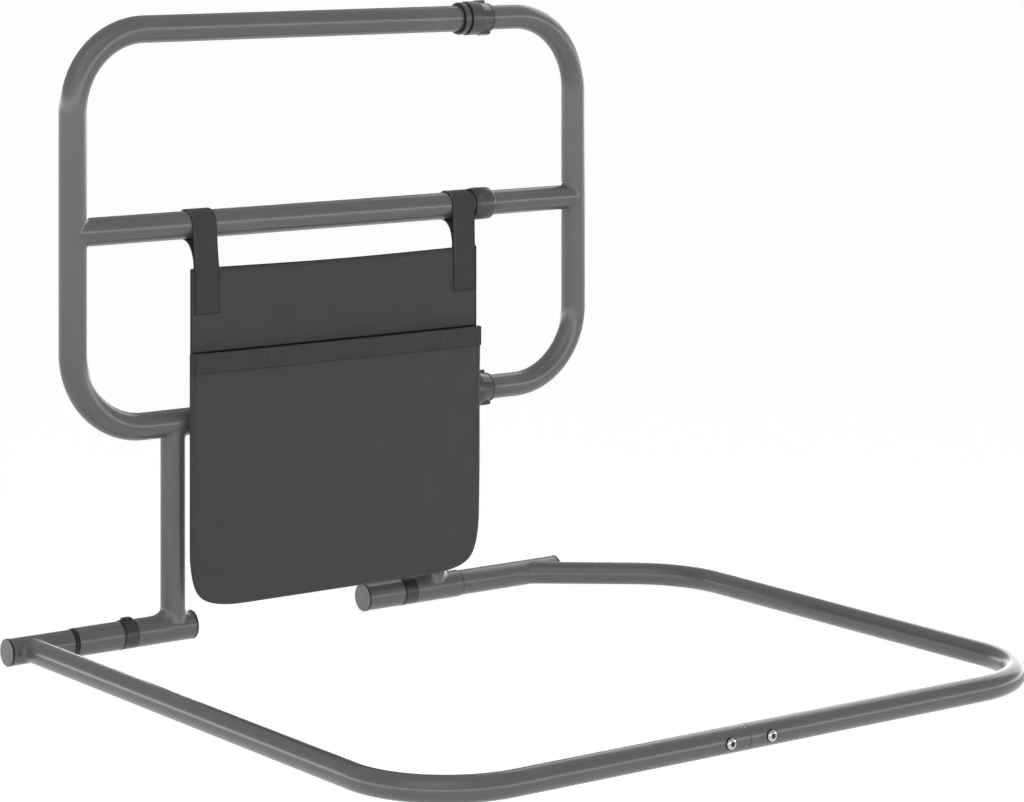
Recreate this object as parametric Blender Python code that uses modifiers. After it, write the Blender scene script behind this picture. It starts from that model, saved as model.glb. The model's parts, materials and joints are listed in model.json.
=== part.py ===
"""Bed rail with a folding, telescoping handle and a U-shaped frame that lies under a mattress.

Metres, +Z up. +X runs along the rail and -Y runs under the mattress. The origin is the centre of the
bottom of the object's box at rest. Places are measured from two construction lines: the axis of the
handle's left upright (x = 0) and the rail's own plane (y = 0). Heights are measured from the middle bar.
"""

import math

import bmesh
import bpy
from mathutils import Matrix, Vector

# Gaps between pieces that touch, and facets
SEAT_GAP = 0.0003
SIDES = 16
BEND_STEPS = 6
NUT_SIDES = 20

# Handle, outer half
OUTER_OD = 0.0286
OUTER_WALL = 0.0008
HANDLE_BEND_R = 0.0820
TOP_BAR_Z = 0.2043
BOTTOM_BAR_Z = -0.2035
MIDDLE_OD = 0.0294
MIDDLE_WALL = 0.0010

# Handle, inner half, which slides in the outer half
SLIDE_CLEARANCE = 0.00015
INNER_WALL = 0.0010
UPRIGHT_SPACING = 0.6380
LOCK_TO_UPRIGHT = 0.1385
INNER_START_X = 0.0950
GLIDE_LIP = 0.0018
GLIDE_PLUG_LENGTH = 0.0120
GLIDE_WALL = 0.0016

# Posts and hinge tees
POST_OD = 0.0256
POST_WALL = 0.0012
LEFT_POST_X = 0.1172
RIGHT_POST_TO_LOCK = 0.0545
FOOT_AXIS_Z = -0.4145
TEE_OD = 0.0292
TEE_WALL = 0.0015
LEFT_TEE_LENGTH = 0.0687
RIGHT_TEE_LENGTH = 0.0596
LEFT_TEE_LEAD = 0.0472
RIGHT_TEE_LEAD = 0.0280
BUSHING_LENGTH = 0.0120
BUSHING_INSET = 0.0080

# The line of tubes that the tees turn on
SHAFT_OD = 0.0190
SHAFT_WALL = 0.0020
FOOT_OD = 0.0272
FOOT_WALL = 0.0015
LEFT_FOOT_LENGTH = 0.0700
RIGHT_FOOT_LENGTH = 0.1335
SPACER_RING_LENGTH = 0.0044
SPACER_RING_WALL = 0.0042
LEFT_SLEEVE_LENGTH = 0.0532
RIGHT_SLEEVE_LENGTH = 0.0475
LINER_LENGTH = 0.0360
CAP_THICKNESS = 0.0014
CAP_GROOVE = 0.0003
CAP_PLUG_LENGTH = 0.0060
PIN_HOLE_D = 0.0040
PIN_HOLE_INSET = 0.0065
PIN_HOLE_DROP = 0.0005

# Lock collars, their release buttons and springs
COLLAR_LENGTH = 0.0148
BUTTON_LENGTH = 0.0110
BUTTON_WIDTH = 0.0090
BUTTON_PROUD = 0.0024
BUTTON_BODY = 0.0012
BUTTON_EDGE = 0.0006
BUTTON_CLEARANCE = 0.0003
SPRING_HEIGHT = 0.0022
SPRING_OD = 0.0046
SPRING_WIRE_D = 0.0003
SPRING_TURNS = 3

# Under-mattress frame
BASE_OD = 0.0240
BASE_WALL = 0.0015
LEFT_ARM_X = -0.0485
RIGHT_ARM_X = 0.7083
FRONT_BAR_Y = -0.6835
BASE_CORNER_R = 0.1000
FLARE_BEND_R = 0.1200
FLARE_ANGLE = math.radians(38.6)
FLARE_TO_FOOT_END = 0.0428
SEAM_X = 0.3080
JOINER_LENGTH = 0.0900
JOINER_WALL = 0.0015
BOLT_OFFSET = 0.0240
BOLT_D = 0.0060
BOLT_LENGTH = 0.0110
BOLT_HEAD_D = 0.0105
BOLT_HEAD_H = 0.0030
BOLT_SOCKET_AF = 0.0040
BOLT_SOCKET_DEPTH = 0.0018
BOLT_HOLE_CLEARANCE = 0.0003
THREAD_CLEARANCE = 0.00015
NUT_AF = 0.0100
NUT_H = 0.0050

# Twist locks of the top and bottom bars
LOCK_SEAT_LENGTH = 0.0200
LOCK_NECK_WALL = 0.0015
LOCK_BASE_LENGTH = 0.0068
LOCK_BASE_STEP = 0.0016
LOCK_GROOVE = 0.0026
LOCK_WASHER_LENGTH = 0.0016
LOCK_WASHER_WALL = 0.0026
NUT_RUNNING_CLEARANCE = 0.0004
TWIST_NUT_WALL = 0.0021
TWIST_NUT_LENGTH = 0.0306
TWIST_NUT_STRAIGHT = 0.0145
TWIST_NUT_END_WALL = 0.0016
TWIST_NUT_EDGE = 0.0006
RIB_COUNT = 4
RIB_ANGLE = math.radians(18)
RIB_WIDTH = 0.0066
RIB_LENGTH = 0.0140
RIB_PROUD = 0.0006
COLLET_LENGTH = 0.0070
COLLET_WALL = 0.0018
COLLET_SLIT = 0.0020

# Guide collar of the middle bar
GUIDE_LENGTH = 0.0245
GUIDE_SEAT_LENGTH = 0.0046
GUIDE_WALL = 0.0026
GUIDE_ROUND = 0.0040
GUIDE_LIP = 0.0008
GUIDE_RING_LENGTH = 0.0018
GUIDE_RING_WALL = 0.0018

# Pouch
CLOTH = 0.0014
CLOTH_GAP = 0.0004
POUCH_X = 0.1270
POUCH_TO_LOCK = 0.0095
POUCH_TOP_Z = -0.0440
POUCH_HEIGHT = 0.3500
POUCH_CORNER_R = 0.0420
POCKET_DEPTH = 0.2630
POCKET_GUSSET = 0.0060
POCKET_CROWN = 0.0030
HEM_HEIGHT = 0.0235
STRAP_WIDTH = 0.0280
LEFT_STRAP_INSET = 0.0050
RIGHT_STRAP_INSET = 0.0023
RIGHT_STRAP_LEAN = 0.0030
STRAP_FRONT_LAP = 0.0510
STRAP_BACK_LAP = 0.0280
STRAP_LOOP_START = math.radians(-75)
STRAP_LOOP_END = math.radians(176)
STRAP_LOOP_STEPS = 11
STRAP_SWEEP_STEPS = 4
POCKET_COLUMNS = (0, 0.006, 0.12, 0.35, 0.65, 0.88, 0.994, 1)
POCKET_ROWS = (0, 0.33, 0.64, 0.72, 0.8, 0.876, 0.922, 1)

# Welds
WELD_LEG = 0.0040
WELD_LIP = 0.0003
TEE_WELD_RISE = 0.0080
TEE_WELD_LONG = 0.0140
TEE_WELD_SHORT = 0.0050
WELD_STEP = 0.0072
FLARE_WELD_SHORT = 0.0005

# Worked out from the values above
STEP = 2 * math.pi / SIDES
FLAT = math.cos(STEP / 2)
OUTER_R = OUTER_OD / 2
OUTER_BORE_R = OUTER_R - OUTER_WALL
INNER_R = OUTER_BORE_R - SLIDE_CLEARANCE
INNER_BORE_R = INNER_R - INNER_WALL
MIDDLE_R = MIDDLE_OD / 2
MIDDLE_BORE_R = MIDDLE_R - MIDDLE_WALL
SLIDER_R = MIDDLE_BORE_R - SLIDE_CLEARANCE
SLIDER_BORE_R = SLIDER_R - INNER_WALL
POST_R = POST_OD / 2
TEE_R = TEE_OD / 2
TEE_BORE_R = TEE_R - TEE_WALL
SHAFT_R = SHAFT_OD / 2
SHAFT_SEAT_R = SHAFT_R + SEAT_GAP
FOOT_R = FOOT_OD / 2
FOOT_BORE_R = FOOT_R - FOOT_WALL
BASE_R = BASE_OD / 2
BASE_BORE_R = BASE_R - BASE_WALL
LOCK_SEAT_R = OUTER_R + SEAT_GAP
LOCK_NECK_R = LOCK_SEAT_R + LOCK_NECK_WALL
LOCK_FLANGE_R = LOCK_NECK_R + LOCK_BASE_STEP
TWIST_NUT_CAVITY_R = LOCK_NECK_R + NUT_RUNNING_CLEARANCE
TWIST_NUT_R = TWIST_NUT_CAVITY_R + TWIST_NUT_WALL
TWIST_NUT_PASS_R = INNER_R + 2 * SEAT_GAP
RIB_TOP_R = TWIST_NUT_R + RIB_PROUD

# Places along the rail: the locks are set out from the right upright, and the rest from the locks
OUTER_END_X = UPRIGHT_SPACING - LOCK_TO_UPRIGHT
RIGHT_POST_X = OUTER_END_X - RIGHT_POST_TO_LOCK
POUCH_WIDTH = OUTER_END_X - POUCH_TO_LOCK - POUCH_X

# Places along the hinge line: each tee is set out from its post, and the rest from the tees
LEFT_TEE_X = LEFT_POST_X - LEFT_TEE_LEAD
LEFT_TEE_END_X = LEFT_TEE_X + LEFT_TEE_LENGTH
LEFT_COLLAR_X = LEFT_TEE_X - SEAT_GAP - COLLAR_LENGTH
LEFT_SLEEVE_X = LEFT_COLLAR_X - SEAT_GAP - LEFT_SLEEVE_LENGTH
SPACER_RING_X = LEFT_SLEEVE_X - SEAT_GAP - SPACER_RING_LENGTH
LEFT_FOOT_X = SPACER_RING_X - SEAT_GAP - LEFT_FOOT_LENGTH
RIGHT_TEE_X = RIGHT_POST_X - RIGHT_TEE_LEAD
RIGHT_COLLAR_X = RIGHT_TEE_X - SEAT_GAP - COLLAR_LENGTH
RIGHT_SLEEVE_X = RIGHT_COLLAR_X - SEAT_GAP - RIGHT_SLEEVE_LENGTH
RIGHT_FOOT_X = RIGHT_TEE_X + RIGHT_TEE_LENGTH + SEAT_GAP
RIGHT_FOOT_END_X = RIGHT_FOOT_X + RIGHT_FOOT_LENGTH
FLARE_FOOT_X = RIGHT_FOOT_END_X - FLARE_TO_FOOT_END

# The box at rest is bounded by the left foot cap, the right arm, the bolt heads and the twist nuts' ribs
BOX_MIN_X = LEFT_FOOT_X - CAP_GROOVE - CAP_THICKNESS
BOX_MAX_X = RIGHT_ARM_X + BASE_R * FLAT
BOX_MIN_Y = FRONT_BAR_Y - BASE_R * FLAT - SEAT_GAP - BOLT_HEAD_H
BOX_MAX_Y = RIB_TOP_R * math.cos(RIB_ANGLE) + RIB_WIDTH / 2 * math.sin(RIB_ANGLE)
ORIGIN = Vector(((BOX_MIN_X + BOX_MAX_X) / 2, (BOX_MIN_Y + BOX_MAX_Y) / 2, FOOT_AXIS_Z - TEE_R))

X_AXIS = Vector((1, 0, 0))
Y_AXIS = Vector((0, 1, 0))
Z_AXIS = Vector((0, 0, 1))
HALF_TURNED = Vector((0, math.sin(STEP / 2), math.cos(STEP / 2)))


def at(x, y, z):
    """A point given from the construction lines, in the object's own frame."""
    return Vector((x, y, z)) - ORIGIN


def clear_scene():
    for old in list(bpy.data.objects):
        bpy.data.objects.remove(old, do_unlink=True)


def new_collection(name):
    group = bpy.data.collections.new(name)
    bpy.context.scene.collection.children.link(group)
    return group


def new_material(name, colour, roughness, metallic=0.0):
    material = bpy.data.materials.new(name)
    material.use_nodes = True
    shader = material.node_tree.nodes["Principled BSDF"]
    shader.inputs["Base Color"].default_value = (*colour, 1.0)
    shader.inputs["Roughness"].default_value = roughness
    shader.inputs["Metallic"].default_value = metallic
    return material


def add_piece(name, mesh, material, smooth=True):
    piece = bpy.data.objects.new(name, mesh)
    parts.objects.link(piece)
    mesh.materials.clear()
    mesh.materials.append(material)
    if smooth:
        mesh.shade_smooth()
        mesh.set_sharp_from_angle(angle=math.radians(35))
    return piece


def as_cutter(cutter):
    helpers.objects.link(cutter)
    cutter.hide_render = True
    cutter.display_type = "WIRE"
    return cutter


def add_cutter(name, mesh):
    return as_cutter(bpy.data.objects.new(name, mesh))


def boolean(piece, other, operation="DIFFERENCE"):
    modifier = piece.modifiers.new(f"{operation.lower()} {other.name}", "BOOLEAN")
    modifier.operation = operation
    modifier.solver = "EXACT"
    modifier.object = other


def mesh_from(name, edit):
    """A mesh made from a bmesh, with its faces pointing out."""
    bmesh.ops.recalc_face_normals(edit, faces=edit.faces[:])
    mesh = bpy.data.meshes.new(name)
    edit.to_mesh(mesh)
    edit.free()
    return mesh


def frame_along(direction, reference=None):
    """A rotation whose third axis is the direction, with its first axis as near the reference as it can be."""
    third = direction.normalized()
    if reference is None:
        reference = X_AXIS if abs(third.z) > 0.9 else Z_AXIS
    first = (reference - third * reference.dot(third)).normalized()
    return Matrix((first, third.cross(first), third)).transposed()


def rod_mesh(name, start, end, radius, sides=SIDES):
    """A cylinder between two points."""
    edit = bmesh.new()
    depth = (end - start).length
    bmesh.ops.create_cone(edit, cap_ends=True, segments=sides, radius1=radius, radius2=radius, depth=depth)
    place = Matrix.Translation((start + end) / 2) @ frame_along(end - start).to_4x4()
    bmesh.ops.transform(edit, matrix=place, verts=edit.verts[:])
    return mesh_from(name, edit)


def box_mesh(name, low, high, place=None):
    edit = bmesh.new()
    bmesh.ops.create_cube(edit, size=1.0)
    bmesh.ops.scale(edit, vec=high - low, verts=edit.verts[:])
    bmesh.ops.translate(edit, vec=(low + high) / 2, verts=edit.verts[:])
    if place:
        bmesh.ops.transform(edit, matrix=place, verts=edit.verts[:])
    return mesh_from(name, edit)


def bent_path(corners, radii):
    """Points along straight runs through the corners, with each inner corner rounded to its radius."""
    points = [corners[0]]
    for before, corner, after, radius in zip(corners, corners[1:], corners[2:], radii):
        inward = (before - corner).normalized()
        outward = (after - corner).normalized()
        half = inward.angle(outward) / 2
        setback = radius / math.tan(half)
        centre = corner + (inward + outward).normalized() * (radius / math.sin(half))
        first = corner + inward * setback - centre
        last = corner + outward * setback - centre
        turn = first.angle(last)
        axis = first.cross(last).normalized()
        for k in range(BEND_STEPS + 1):
            points.append(centre + Matrix.Rotation(turn * k / BEND_STEPS, 3, axis) @ first)
    points.append(corners[-1])
    return points


def longer(points, extra):
    """The same path, run past both of its ends."""
    first = points[0] + (points[0] - points[1]).normalized() * extra
    last = points[-1] + (points[-1] - points[-2]).normalized() * extra
    return [first, *points[1:-1], last]


def bar_curve(name, points, radius, resolution, tilt=0.0):
    """A round bar along the points: a curve with a bevel and filled caps."""
    curve = bpy.data.curves.new(name, "CURVE")
    curve.dimensions = "3D"
    curve.bevel_depth = radius
    curve.bevel_resolution = resolution
    curve.use_fill_caps = True
    spline = curve.splines.new("POLY")
    spline.points.add(len(points) - 1)
    for spot, point in zip(spline.points, points):
        spot.co = (*point, 1.0)
        spot.tilt = tilt
    return curve


def bar_mesh(name, points, radius, tilt=0.0):
    """The mesh of a round bar, with its caps welded on, so that it takes Booleans."""
    curve = bar_curve(name, points, radius, (SIDES - 4) // 2, tilt)
    holder = bpy.data.objects.new(name, curve)
    bpy.context.scene.collection.objects.link(holder)
    graph = bpy.context.evaluated_depsgraph_get()
    raw = bpy.data.meshes.new_from_object(holder.evaluated_get(graph))
    bpy.data.objects.remove(holder, do_unlink=True)
    bpy.data.curves.remove(curve)
    edit = bmesh.new()
    edit.from_mesh(raw)
    bmesh.ops.remove_doubles(edit, verts=edit.verts[:], dist=1e-6)
    bpy.data.meshes.remove(raw)
    return mesh_from(name, edit)


def bent_tube(name, points, radius, bore, material, tilt=0.0):
    """A hollow tube along the points."""
    piece = add_piece(name, bar_mesh(name, points, radius, tilt), material)
    boolean(piece, add_cutter(f"{name} bore", bar_mesh(name, longer(points, radius), bore, tilt)))
    return piece


def turned(name, profile, start, direction, material=None, sides=SIDES, reference=None):
    """A piece turned from a closed profile of (distance along the axis, radius) with a Screw modifier.

    Without a material it is a cutter.
    """
    outline = list(profile)
    area = sum(a[0] * b[1] - b[0] * a[1] for a, b in zip(outline, outline[1:] + outline[:1]))
    if area < 0:
        outline.reverse()
    solid = any(radius == 0 for _, radius in outline)
    while solid and not (outline[0][1] == 0 and outline[-1][1] == 0):
        outline.append(outline.pop(0))
    edges = [(k, k + 1) for k in range(len(outline) - 1)]
    if not solid:
        edges.append((len(outline) - 1, 0))
    mesh = bpy.data.meshes.new(name)
    mesh.from_pydata([(radius, 0, along) for along, radius in outline], edges, [])
    piece = bpy.data.objects.new(name, mesh)
    if material:
        parts.objects.link(piece)
        mesh.materials.append(material)
    else:
        as_cutter(piece)
    screw = piece.modifiers.new("turn", "SCREW")
    screw.axis = "Z"
    screw.steps = sides
    screw.render_steps = sides
    screw.use_merge_vertices = True
    screw.merge_threshold = 1e-5
    screw.use_smooth_shade = True
    piece.matrix_world = Matrix.Translation(start) @ frame_along(direction, reference).to_4x4()
    return piece


def ring(length, outer, inner):
    """The section of a plain ring."""
    return [(0, inner), (0, outer), (length, outer), (length, inner)]


def square_part(point, origin, axis):
    """The part of the way from the axis to the point that is square to the axis."""
    return (point - origin) - axis * (point - origin).dot(axis)


def root_on(start, toward, origin, axis, radius):
    """Where a line from start first meets a tube."""
    square = square_part(start, origin, axis)
    aim = toward - axis * toward.dot(axis)
    a, b, c = aim.dot(aim), 2 * square.dot(aim), square.dot(square) - radius**2
    return start + toward * (-b - math.sqrt(max(b * b - 4 * a * c, 0))) / (2 * a)


def weld_mesh(name, branch, toward, branch_r, main, axis, main_r, rise, toe):
    """A fillet weld round a branch whose end meets the side of a round tube.

    Its section, for each angle round the branch, runs along the tube's surface from the branch's wall
    to the toe, and back up to the branch in a hollow curve. toe(cosine) is the toe's distance from the
    branch, and cosine is 1 on the side that the tube's own axis points to.
    """
    step = 2 * math.pi / SIDES
    side = frame_along(toward, axis)
    foot_r = main_r + SEAT_GAP
    wall_r = branch_r * (1 + FLAT) / 2
    inset = branch_r * (1 - FLAT)
    foot_steps = math.ceil(max(toe(cosine) for cosine in (-1, 0, 1)) / WELD_STEP)

    def seated(point, lift=0.0):
        """The point on the tube's surface, raised so that the chords to its neighbours clear the tube."""
        half_chord = square_part(point, branch, toward).length * math.sin(step / 2)
        away = square_part(point, main, axis)
        return point + away * ((math.hypot(foot_r, half_chord) + lift) / away.length - 1)

    rings = []
    for k in range(SIDES):
        out = side @ Vector((math.cos(k * step), math.sin(k * step), 0))
        root = root_on(branch + out * wall_r, toward, main, axis, foot_r)
        normal = square_part(root, main, axis).normalized()
        along = (out - normal * out.dot(normal)).normalized()
        reach = toe(math.cos(k * step))
        top = root - toward * rise
        section = [seated(root - out * inset)]
        for j in range(1, foot_steps + 1):
            section.append(seated(root + along * (reach * j / foot_steps)))
        section.append(seated(root + along * reach, WELD_LIP))
        for j in range(1, foot_steps + 1):
            t = j / (foot_steps + 1)
            hollow = root + along * (reach * (1 - t) ** 2) - toward * (rise * t**2)
            height = square_part(hollow, main, axis).length - foot_r
            section.append(seated(hollow, max(height, 2 * WELD_LIP)))
        section += [top, top - out * inset]
        rings.append(section)
    edit = bmesh.new()
    spots = [[edit.verts.new(point) for point in section] for section in rings]
    for k in range(SIDES):
        here, there = spots[k], spots[(k + 1) % SIDES]
        for j in range(len(here)):
            n = (j + 1) % len(here)
            edit.faces.new((here[j], here[n], there[n], there[j]))
    bmesh.ops.triangulate(edit, faces=edit.faces[:])
    return mesh_from(name, edit)


def even_toe(cosine):
    return WELD_LEG


def tee_toe(cosine):
    """The weld on a tee spreads further towards the lock collar."""
    return (TEE_WELD_SHORT * (1 + cosine) + TEE_WELD_LONG * (1 - cosine)) / 2


def flare_toe(cosine):
    """The weld of the flared arm has no room on the side of the foot tube's end."""
    return (FLARE_WELD_SHORT * (1 + cosine) + WELD_LEG * (1 - cosine)) / 2


def weld_branch(piece, name, middle, foot, branch_r, axis, main_r, rise=WELD_LEG, toe=even_toe):
    """Copes a branch's end to the side of the tube through foot, and joins the weld to the branch."""
    reach = axis * main_r * 4
    cope_r = (main_r + SEAT_GAP) / FLAT
    boolean(piece, add_cutter(f"{name} cope", rod_mesh(name, foot - reach, foot + reach, cope_r)))
    toward = (foot - middle).normalized()
    weld = weld_mesh(name, middle, toward, branch_r, foot, axis, main_r, rise, toe)
    boolean(piece, add_cutter(f"{name} weld", weld), "UNION")


def handle_path(open_x, upright_x):
    """One half of the handle, from its open top end round its upright to its open bottom end."""
    corners = [
        at(open_x, 0, TOP_BAR_Z),
        at(upright_x, 0, TOP_BAR_Z),
        at(upright_x, 0, BOTTOM_BAR_Z),
        at(open_x, 0, BOTTOM_BAR_Z),
    ]
    return bent_path(corners, (HANDLE_BEND_R, HANDLE_BEND_R))


def make_handle_half(name, middle_name, open_x, upright_x, radius, bore, middle_r, middle_bore):
    """The bent tube of one half of the handle, and its middle bar welded to the upright."""
    half = bent_tube(name, handle_path(open_x, upright_x), radius, bore, enamel)
    foot, end = at(upright_x, 0, 0), at(open_x, 0, 0)
    middle = bent_tube(middle_name, [foot, end], middle_r, middle_bore, enamel)
    weld_branch(middle, middle_name, (foot + end) / 2, foot, middle_r, Z_AXIS, radius)
    return [half, middle]


def make_glides():
    """Plastic plugs in the hidden ends of the inner tubes, which run in the outer ones."""
    pieces = []
    tubes = {
        "top": (TOP_BAR_Z, INNER_R, INNER_BORE_R),
        "middle": (0, SLIDER_R, SLIDER_BORE_R),
        "bottom": (BOTTOM_BAR_Z, INNER_R, INNER_BORE_R),
    }
    for name, (z, outer, bore) in tubes.items():
        plug = bore - SEAT_GAP
        hollow = plug - GLIDE_WALL
        end = GLIDE_LIP + SEAT_GAP + GLIDE_PLUG_LENGTH
        profile = [(0, hollow), (0, outer), (GLIDE_LIP, outer), (GLIDE_LIP, plug), (end, plug), (end, hollow)]
        start = at(INNER_START_X - GLIDE_LIP - SEAT_GAP, 0, z)
        pieces.append(turned(f"{name}_glide", profile, start, X_AXIS, black))
    return pieces


def make_post(name, x):
    """A post between the bottom bar and a hinge tee, welded to both."""
    upper, lower = at(x, 0, BOTTOM_BAR_Z), at(x, 0, FOOT_AXIS_Z)
    middle = (upper + lower) / 2
    post = bent_tube(name, [lower, upper], POST_R, POST_R - POST_WALL, enamel)
    weld_branch(post, f"{name} upper", middle, upper, POST_R, X_AXIS, OUTER_R)
    weld_branch(post, f"{name} lower", middle, lower, POST_R, X_AXIS, TEE_R, TEE_WELD_RISE, tee_toe)
    return post


def make_tee(side, start, length):
    """A hinge tee: the tube under a post, with a plastic bushing near each end."""
    section = ring(length, TEE_R, TEE_BORE_R)
    pieces = [turned(f"{side}_hinge_tee", section, at(start, 0, FOOT_AXIS_Z), X_AXIS, enamel)]
    far = length - BUSHING_INSET - BUSHING_LENGTH
    for place, along in (("inboard", BUSHING_INSET), ("outboard", far)):
        section = ring(BUSHING_LENGTH, TEE_BORE_R - SEAT_GAP, SHAFT_SEAT_R)
        spot = at(start + along, 0, FOOT_AXIS_Z)
        pieces.append(turned(f"{side}_{place}_bushing", section, spot, X_AXIS, black))
    return pieces


def make_cap(name, x, direction, tube_r, bore):
    """An end cap: a disc on a tube's end with a plug inside the tube."""
    plug = bore - SEAT_GAP
    thick = CAP_THICKNESS
    end = thick + CAP_GROOVE + CAP_PLUG_LENGTH
    profile = [(0, 0), (0, tube_r), (thick, tube_r), (thick, plug), (end, plug), (end, 0)]
    start = at(x, 0, FOOT_AXIS_Z) - direction * (thick + CAP_GROOVE)
    return turned(name, profile, start, direction, cap_grey)


def make_lock_collar(side, x):
    """A plastic collar beside a tee, with a release button in a pocket on its top, over a coil spring."""
    section = ring(COLLAR_LENGTH, TEE_R, SHAFT_SEAT_R)
    collar = turned(f"{side}_lock_collar", section, at(x, 0, FOOT_AXIS_Z), X_AXIS, black)
    middle = x + COLLAR_LENGTH / 2
    top = FOOT_AXIS_Z + TEE_R
    floor = top - BUTTON_BODY - SPRING_HEIGHT - 2 * SEAT_GAP
    half_x, half_y = BUTTON_LENGTH / 2, BUTTON_WIDTH / 2
    pocket_low = at(middle - half_x - BUTTON_CLEARANCE, -half_y - BUTTON_CLEARANCE, floor)
    pocket_high = at(middle + half_x + BUTTON_CLEARANCE, half_y + BUTTON_CLEARANCE, top + BUTTON_PROUD)
    name = f"{side} button pocket"
    boolean(collar, add_cutter(name, box_mesh(name, pocket_low, pocket_high)))

    name = f"{side}_release_button"
    low = at(middle - half_x, -half_y, top - BUTTON_BODY)
    high = at(middle + half_x, half_y, top + BUTTON_PROUD)
    button = add_piece(name, box_mesh(name, low, high), black, smooth=False)
    bevel = button.modifiers.new("rounded edges", "BEVEL")
    bevel.width = BUTTON_EDGE
    bevel.segments = 1
    bevel.limit_method = "ANGLE"

    path = []
    coil_r = (SPRING_OD - SPRING_WIRE_D) / 2
    turns = 8 * SPRING_TURNS
    for k in range(turns + 1):
        angle = 2 * math.pi * SPRING_TURNS * k / turns
        height = SPRING_WIRE_D / 2 + (SPRING_HEIGHT - SPRING_WIRE_D) * k / turns
        path.append(at(middle + coil_r * math.cos(angle), coil_r * math.sin(angle), floor + SEAT_GAP + height))
    name = f"{side}_button_spring"
    wire = bar_curve(name, path, SPRING_WIRE_D / 2, 0)
    wire.materials.append(zinc)
    spring = bpy.data.objects.new(name, wire)
    parts.objects.link(spring)
    return [collar, spring], [button]


def make_hinge_line():
    """The fixed pieces on the hinge line: foot tubes, shafts, sleeves, liners, spacer ring and caps."""
    z = FOOT_AXIS_Z
    inset = CAP_PLUG_LENGTH + SEAT_GAP
    shafts = {
        "left": (LEFT_FOOT_X + inset, LEFT_TEE_END_X - inset),
        "right": (RIGHT_SLEEVE_X + inset, RIGHT_FOOT_END_X - inset),
    }
    for side, (start, end) in shafts.items():
        section = ring(end - start, SHAFT_R, SHAFT_R - SHAFT_WALL)
        turned(f"{side}_pivot_shaft", section, at(start, 0, z), X_AXIS, zinc)

    liner = ring(LINER_LENGTH, FOOT_BORE_R - SEAT_GAP, SHAFT_SEAT_R)
    left_liner_x = LEFT_FOOT_X + LEFT_FOOT_LENGTH - LINER_LENGTH
    feet = {
        "left": (LEFT_FOOT_X, LEFT_FOOT_LENGTH, left_liner_x),
        "right": (RIGHT_FOOT_X, RIGHT_FOOT_LENGTH, RIGHT_FOOT_X),
    }
    for side, (start, length, liner_x) in feet.items():
        foot = turned(f"{side}_foot_tube", ring(length, FOOT_R, FOOT_BORE_R), at(start, 0, z), X_AXIS, enamel)
        turned(f"{side}_foot_liner", liner, at(liner_x, 0, z), X_AXIS, black)
        if side == "left":
            x = start + PIN_HOLE_INSET
            near = at(x, -2 * FOOT_R, z - PIN_HOLE_DROP)
            far = at(x, -SHAFT_R, z - PIN_HOLE_DROP)
            boolean(foot, add_cutter("pin hole", rod_mesh("pin hole", near, far, PIN_HOLE_D / 2, 10)))

    liner = ring(LINER_LENGTH, TEE_BORE_R - SEAT_GAP, SHAFT_SEAT_R)
    sleeves = {
        "left": (LEFT_SLEEVE_X, LEFT_SLEEVE_LENGTH),
        "right": (RIGHT_SLEEVE_X, RIGHT_SLEEVE_LENGTH),
    }
    for side, (start, length) in sleeves.items():
        turned(f"{side}_lock_sleeve", ring(length, TEE_R, TEE_BORE_R), at(start, 0, z), X_AXIS, enamel)
        turned(f"{side}_sleeve_liner", liner, at(start + length - LINER_LENGTH, 0, z), X_AXIS, black)

    section = ring(SPACER_RING_LENGTH, SHAFT_SEAT_R + SPACER_RING_WALL, SHAFT_SEAT_R)
    turned("left_spacer_ring", section, at(SPACER_RING_X, 0, z), X_AXIS, black)
    make_cap("left_foot_cap", LEFT_FOOT_X, X_AXIS, FOOT_R, FOOT_BORE_R)
    make_cap("right_foot_cap", RIGHT_FOOT_END_X, -X_AXIS, FOOT_R, FOOT_BORE_R)
    make_cap("right_sleeve_cap", RIGHT_SLEEVE_X, X_AXIS, TEE_R, TEE_BORE_R)


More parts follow.
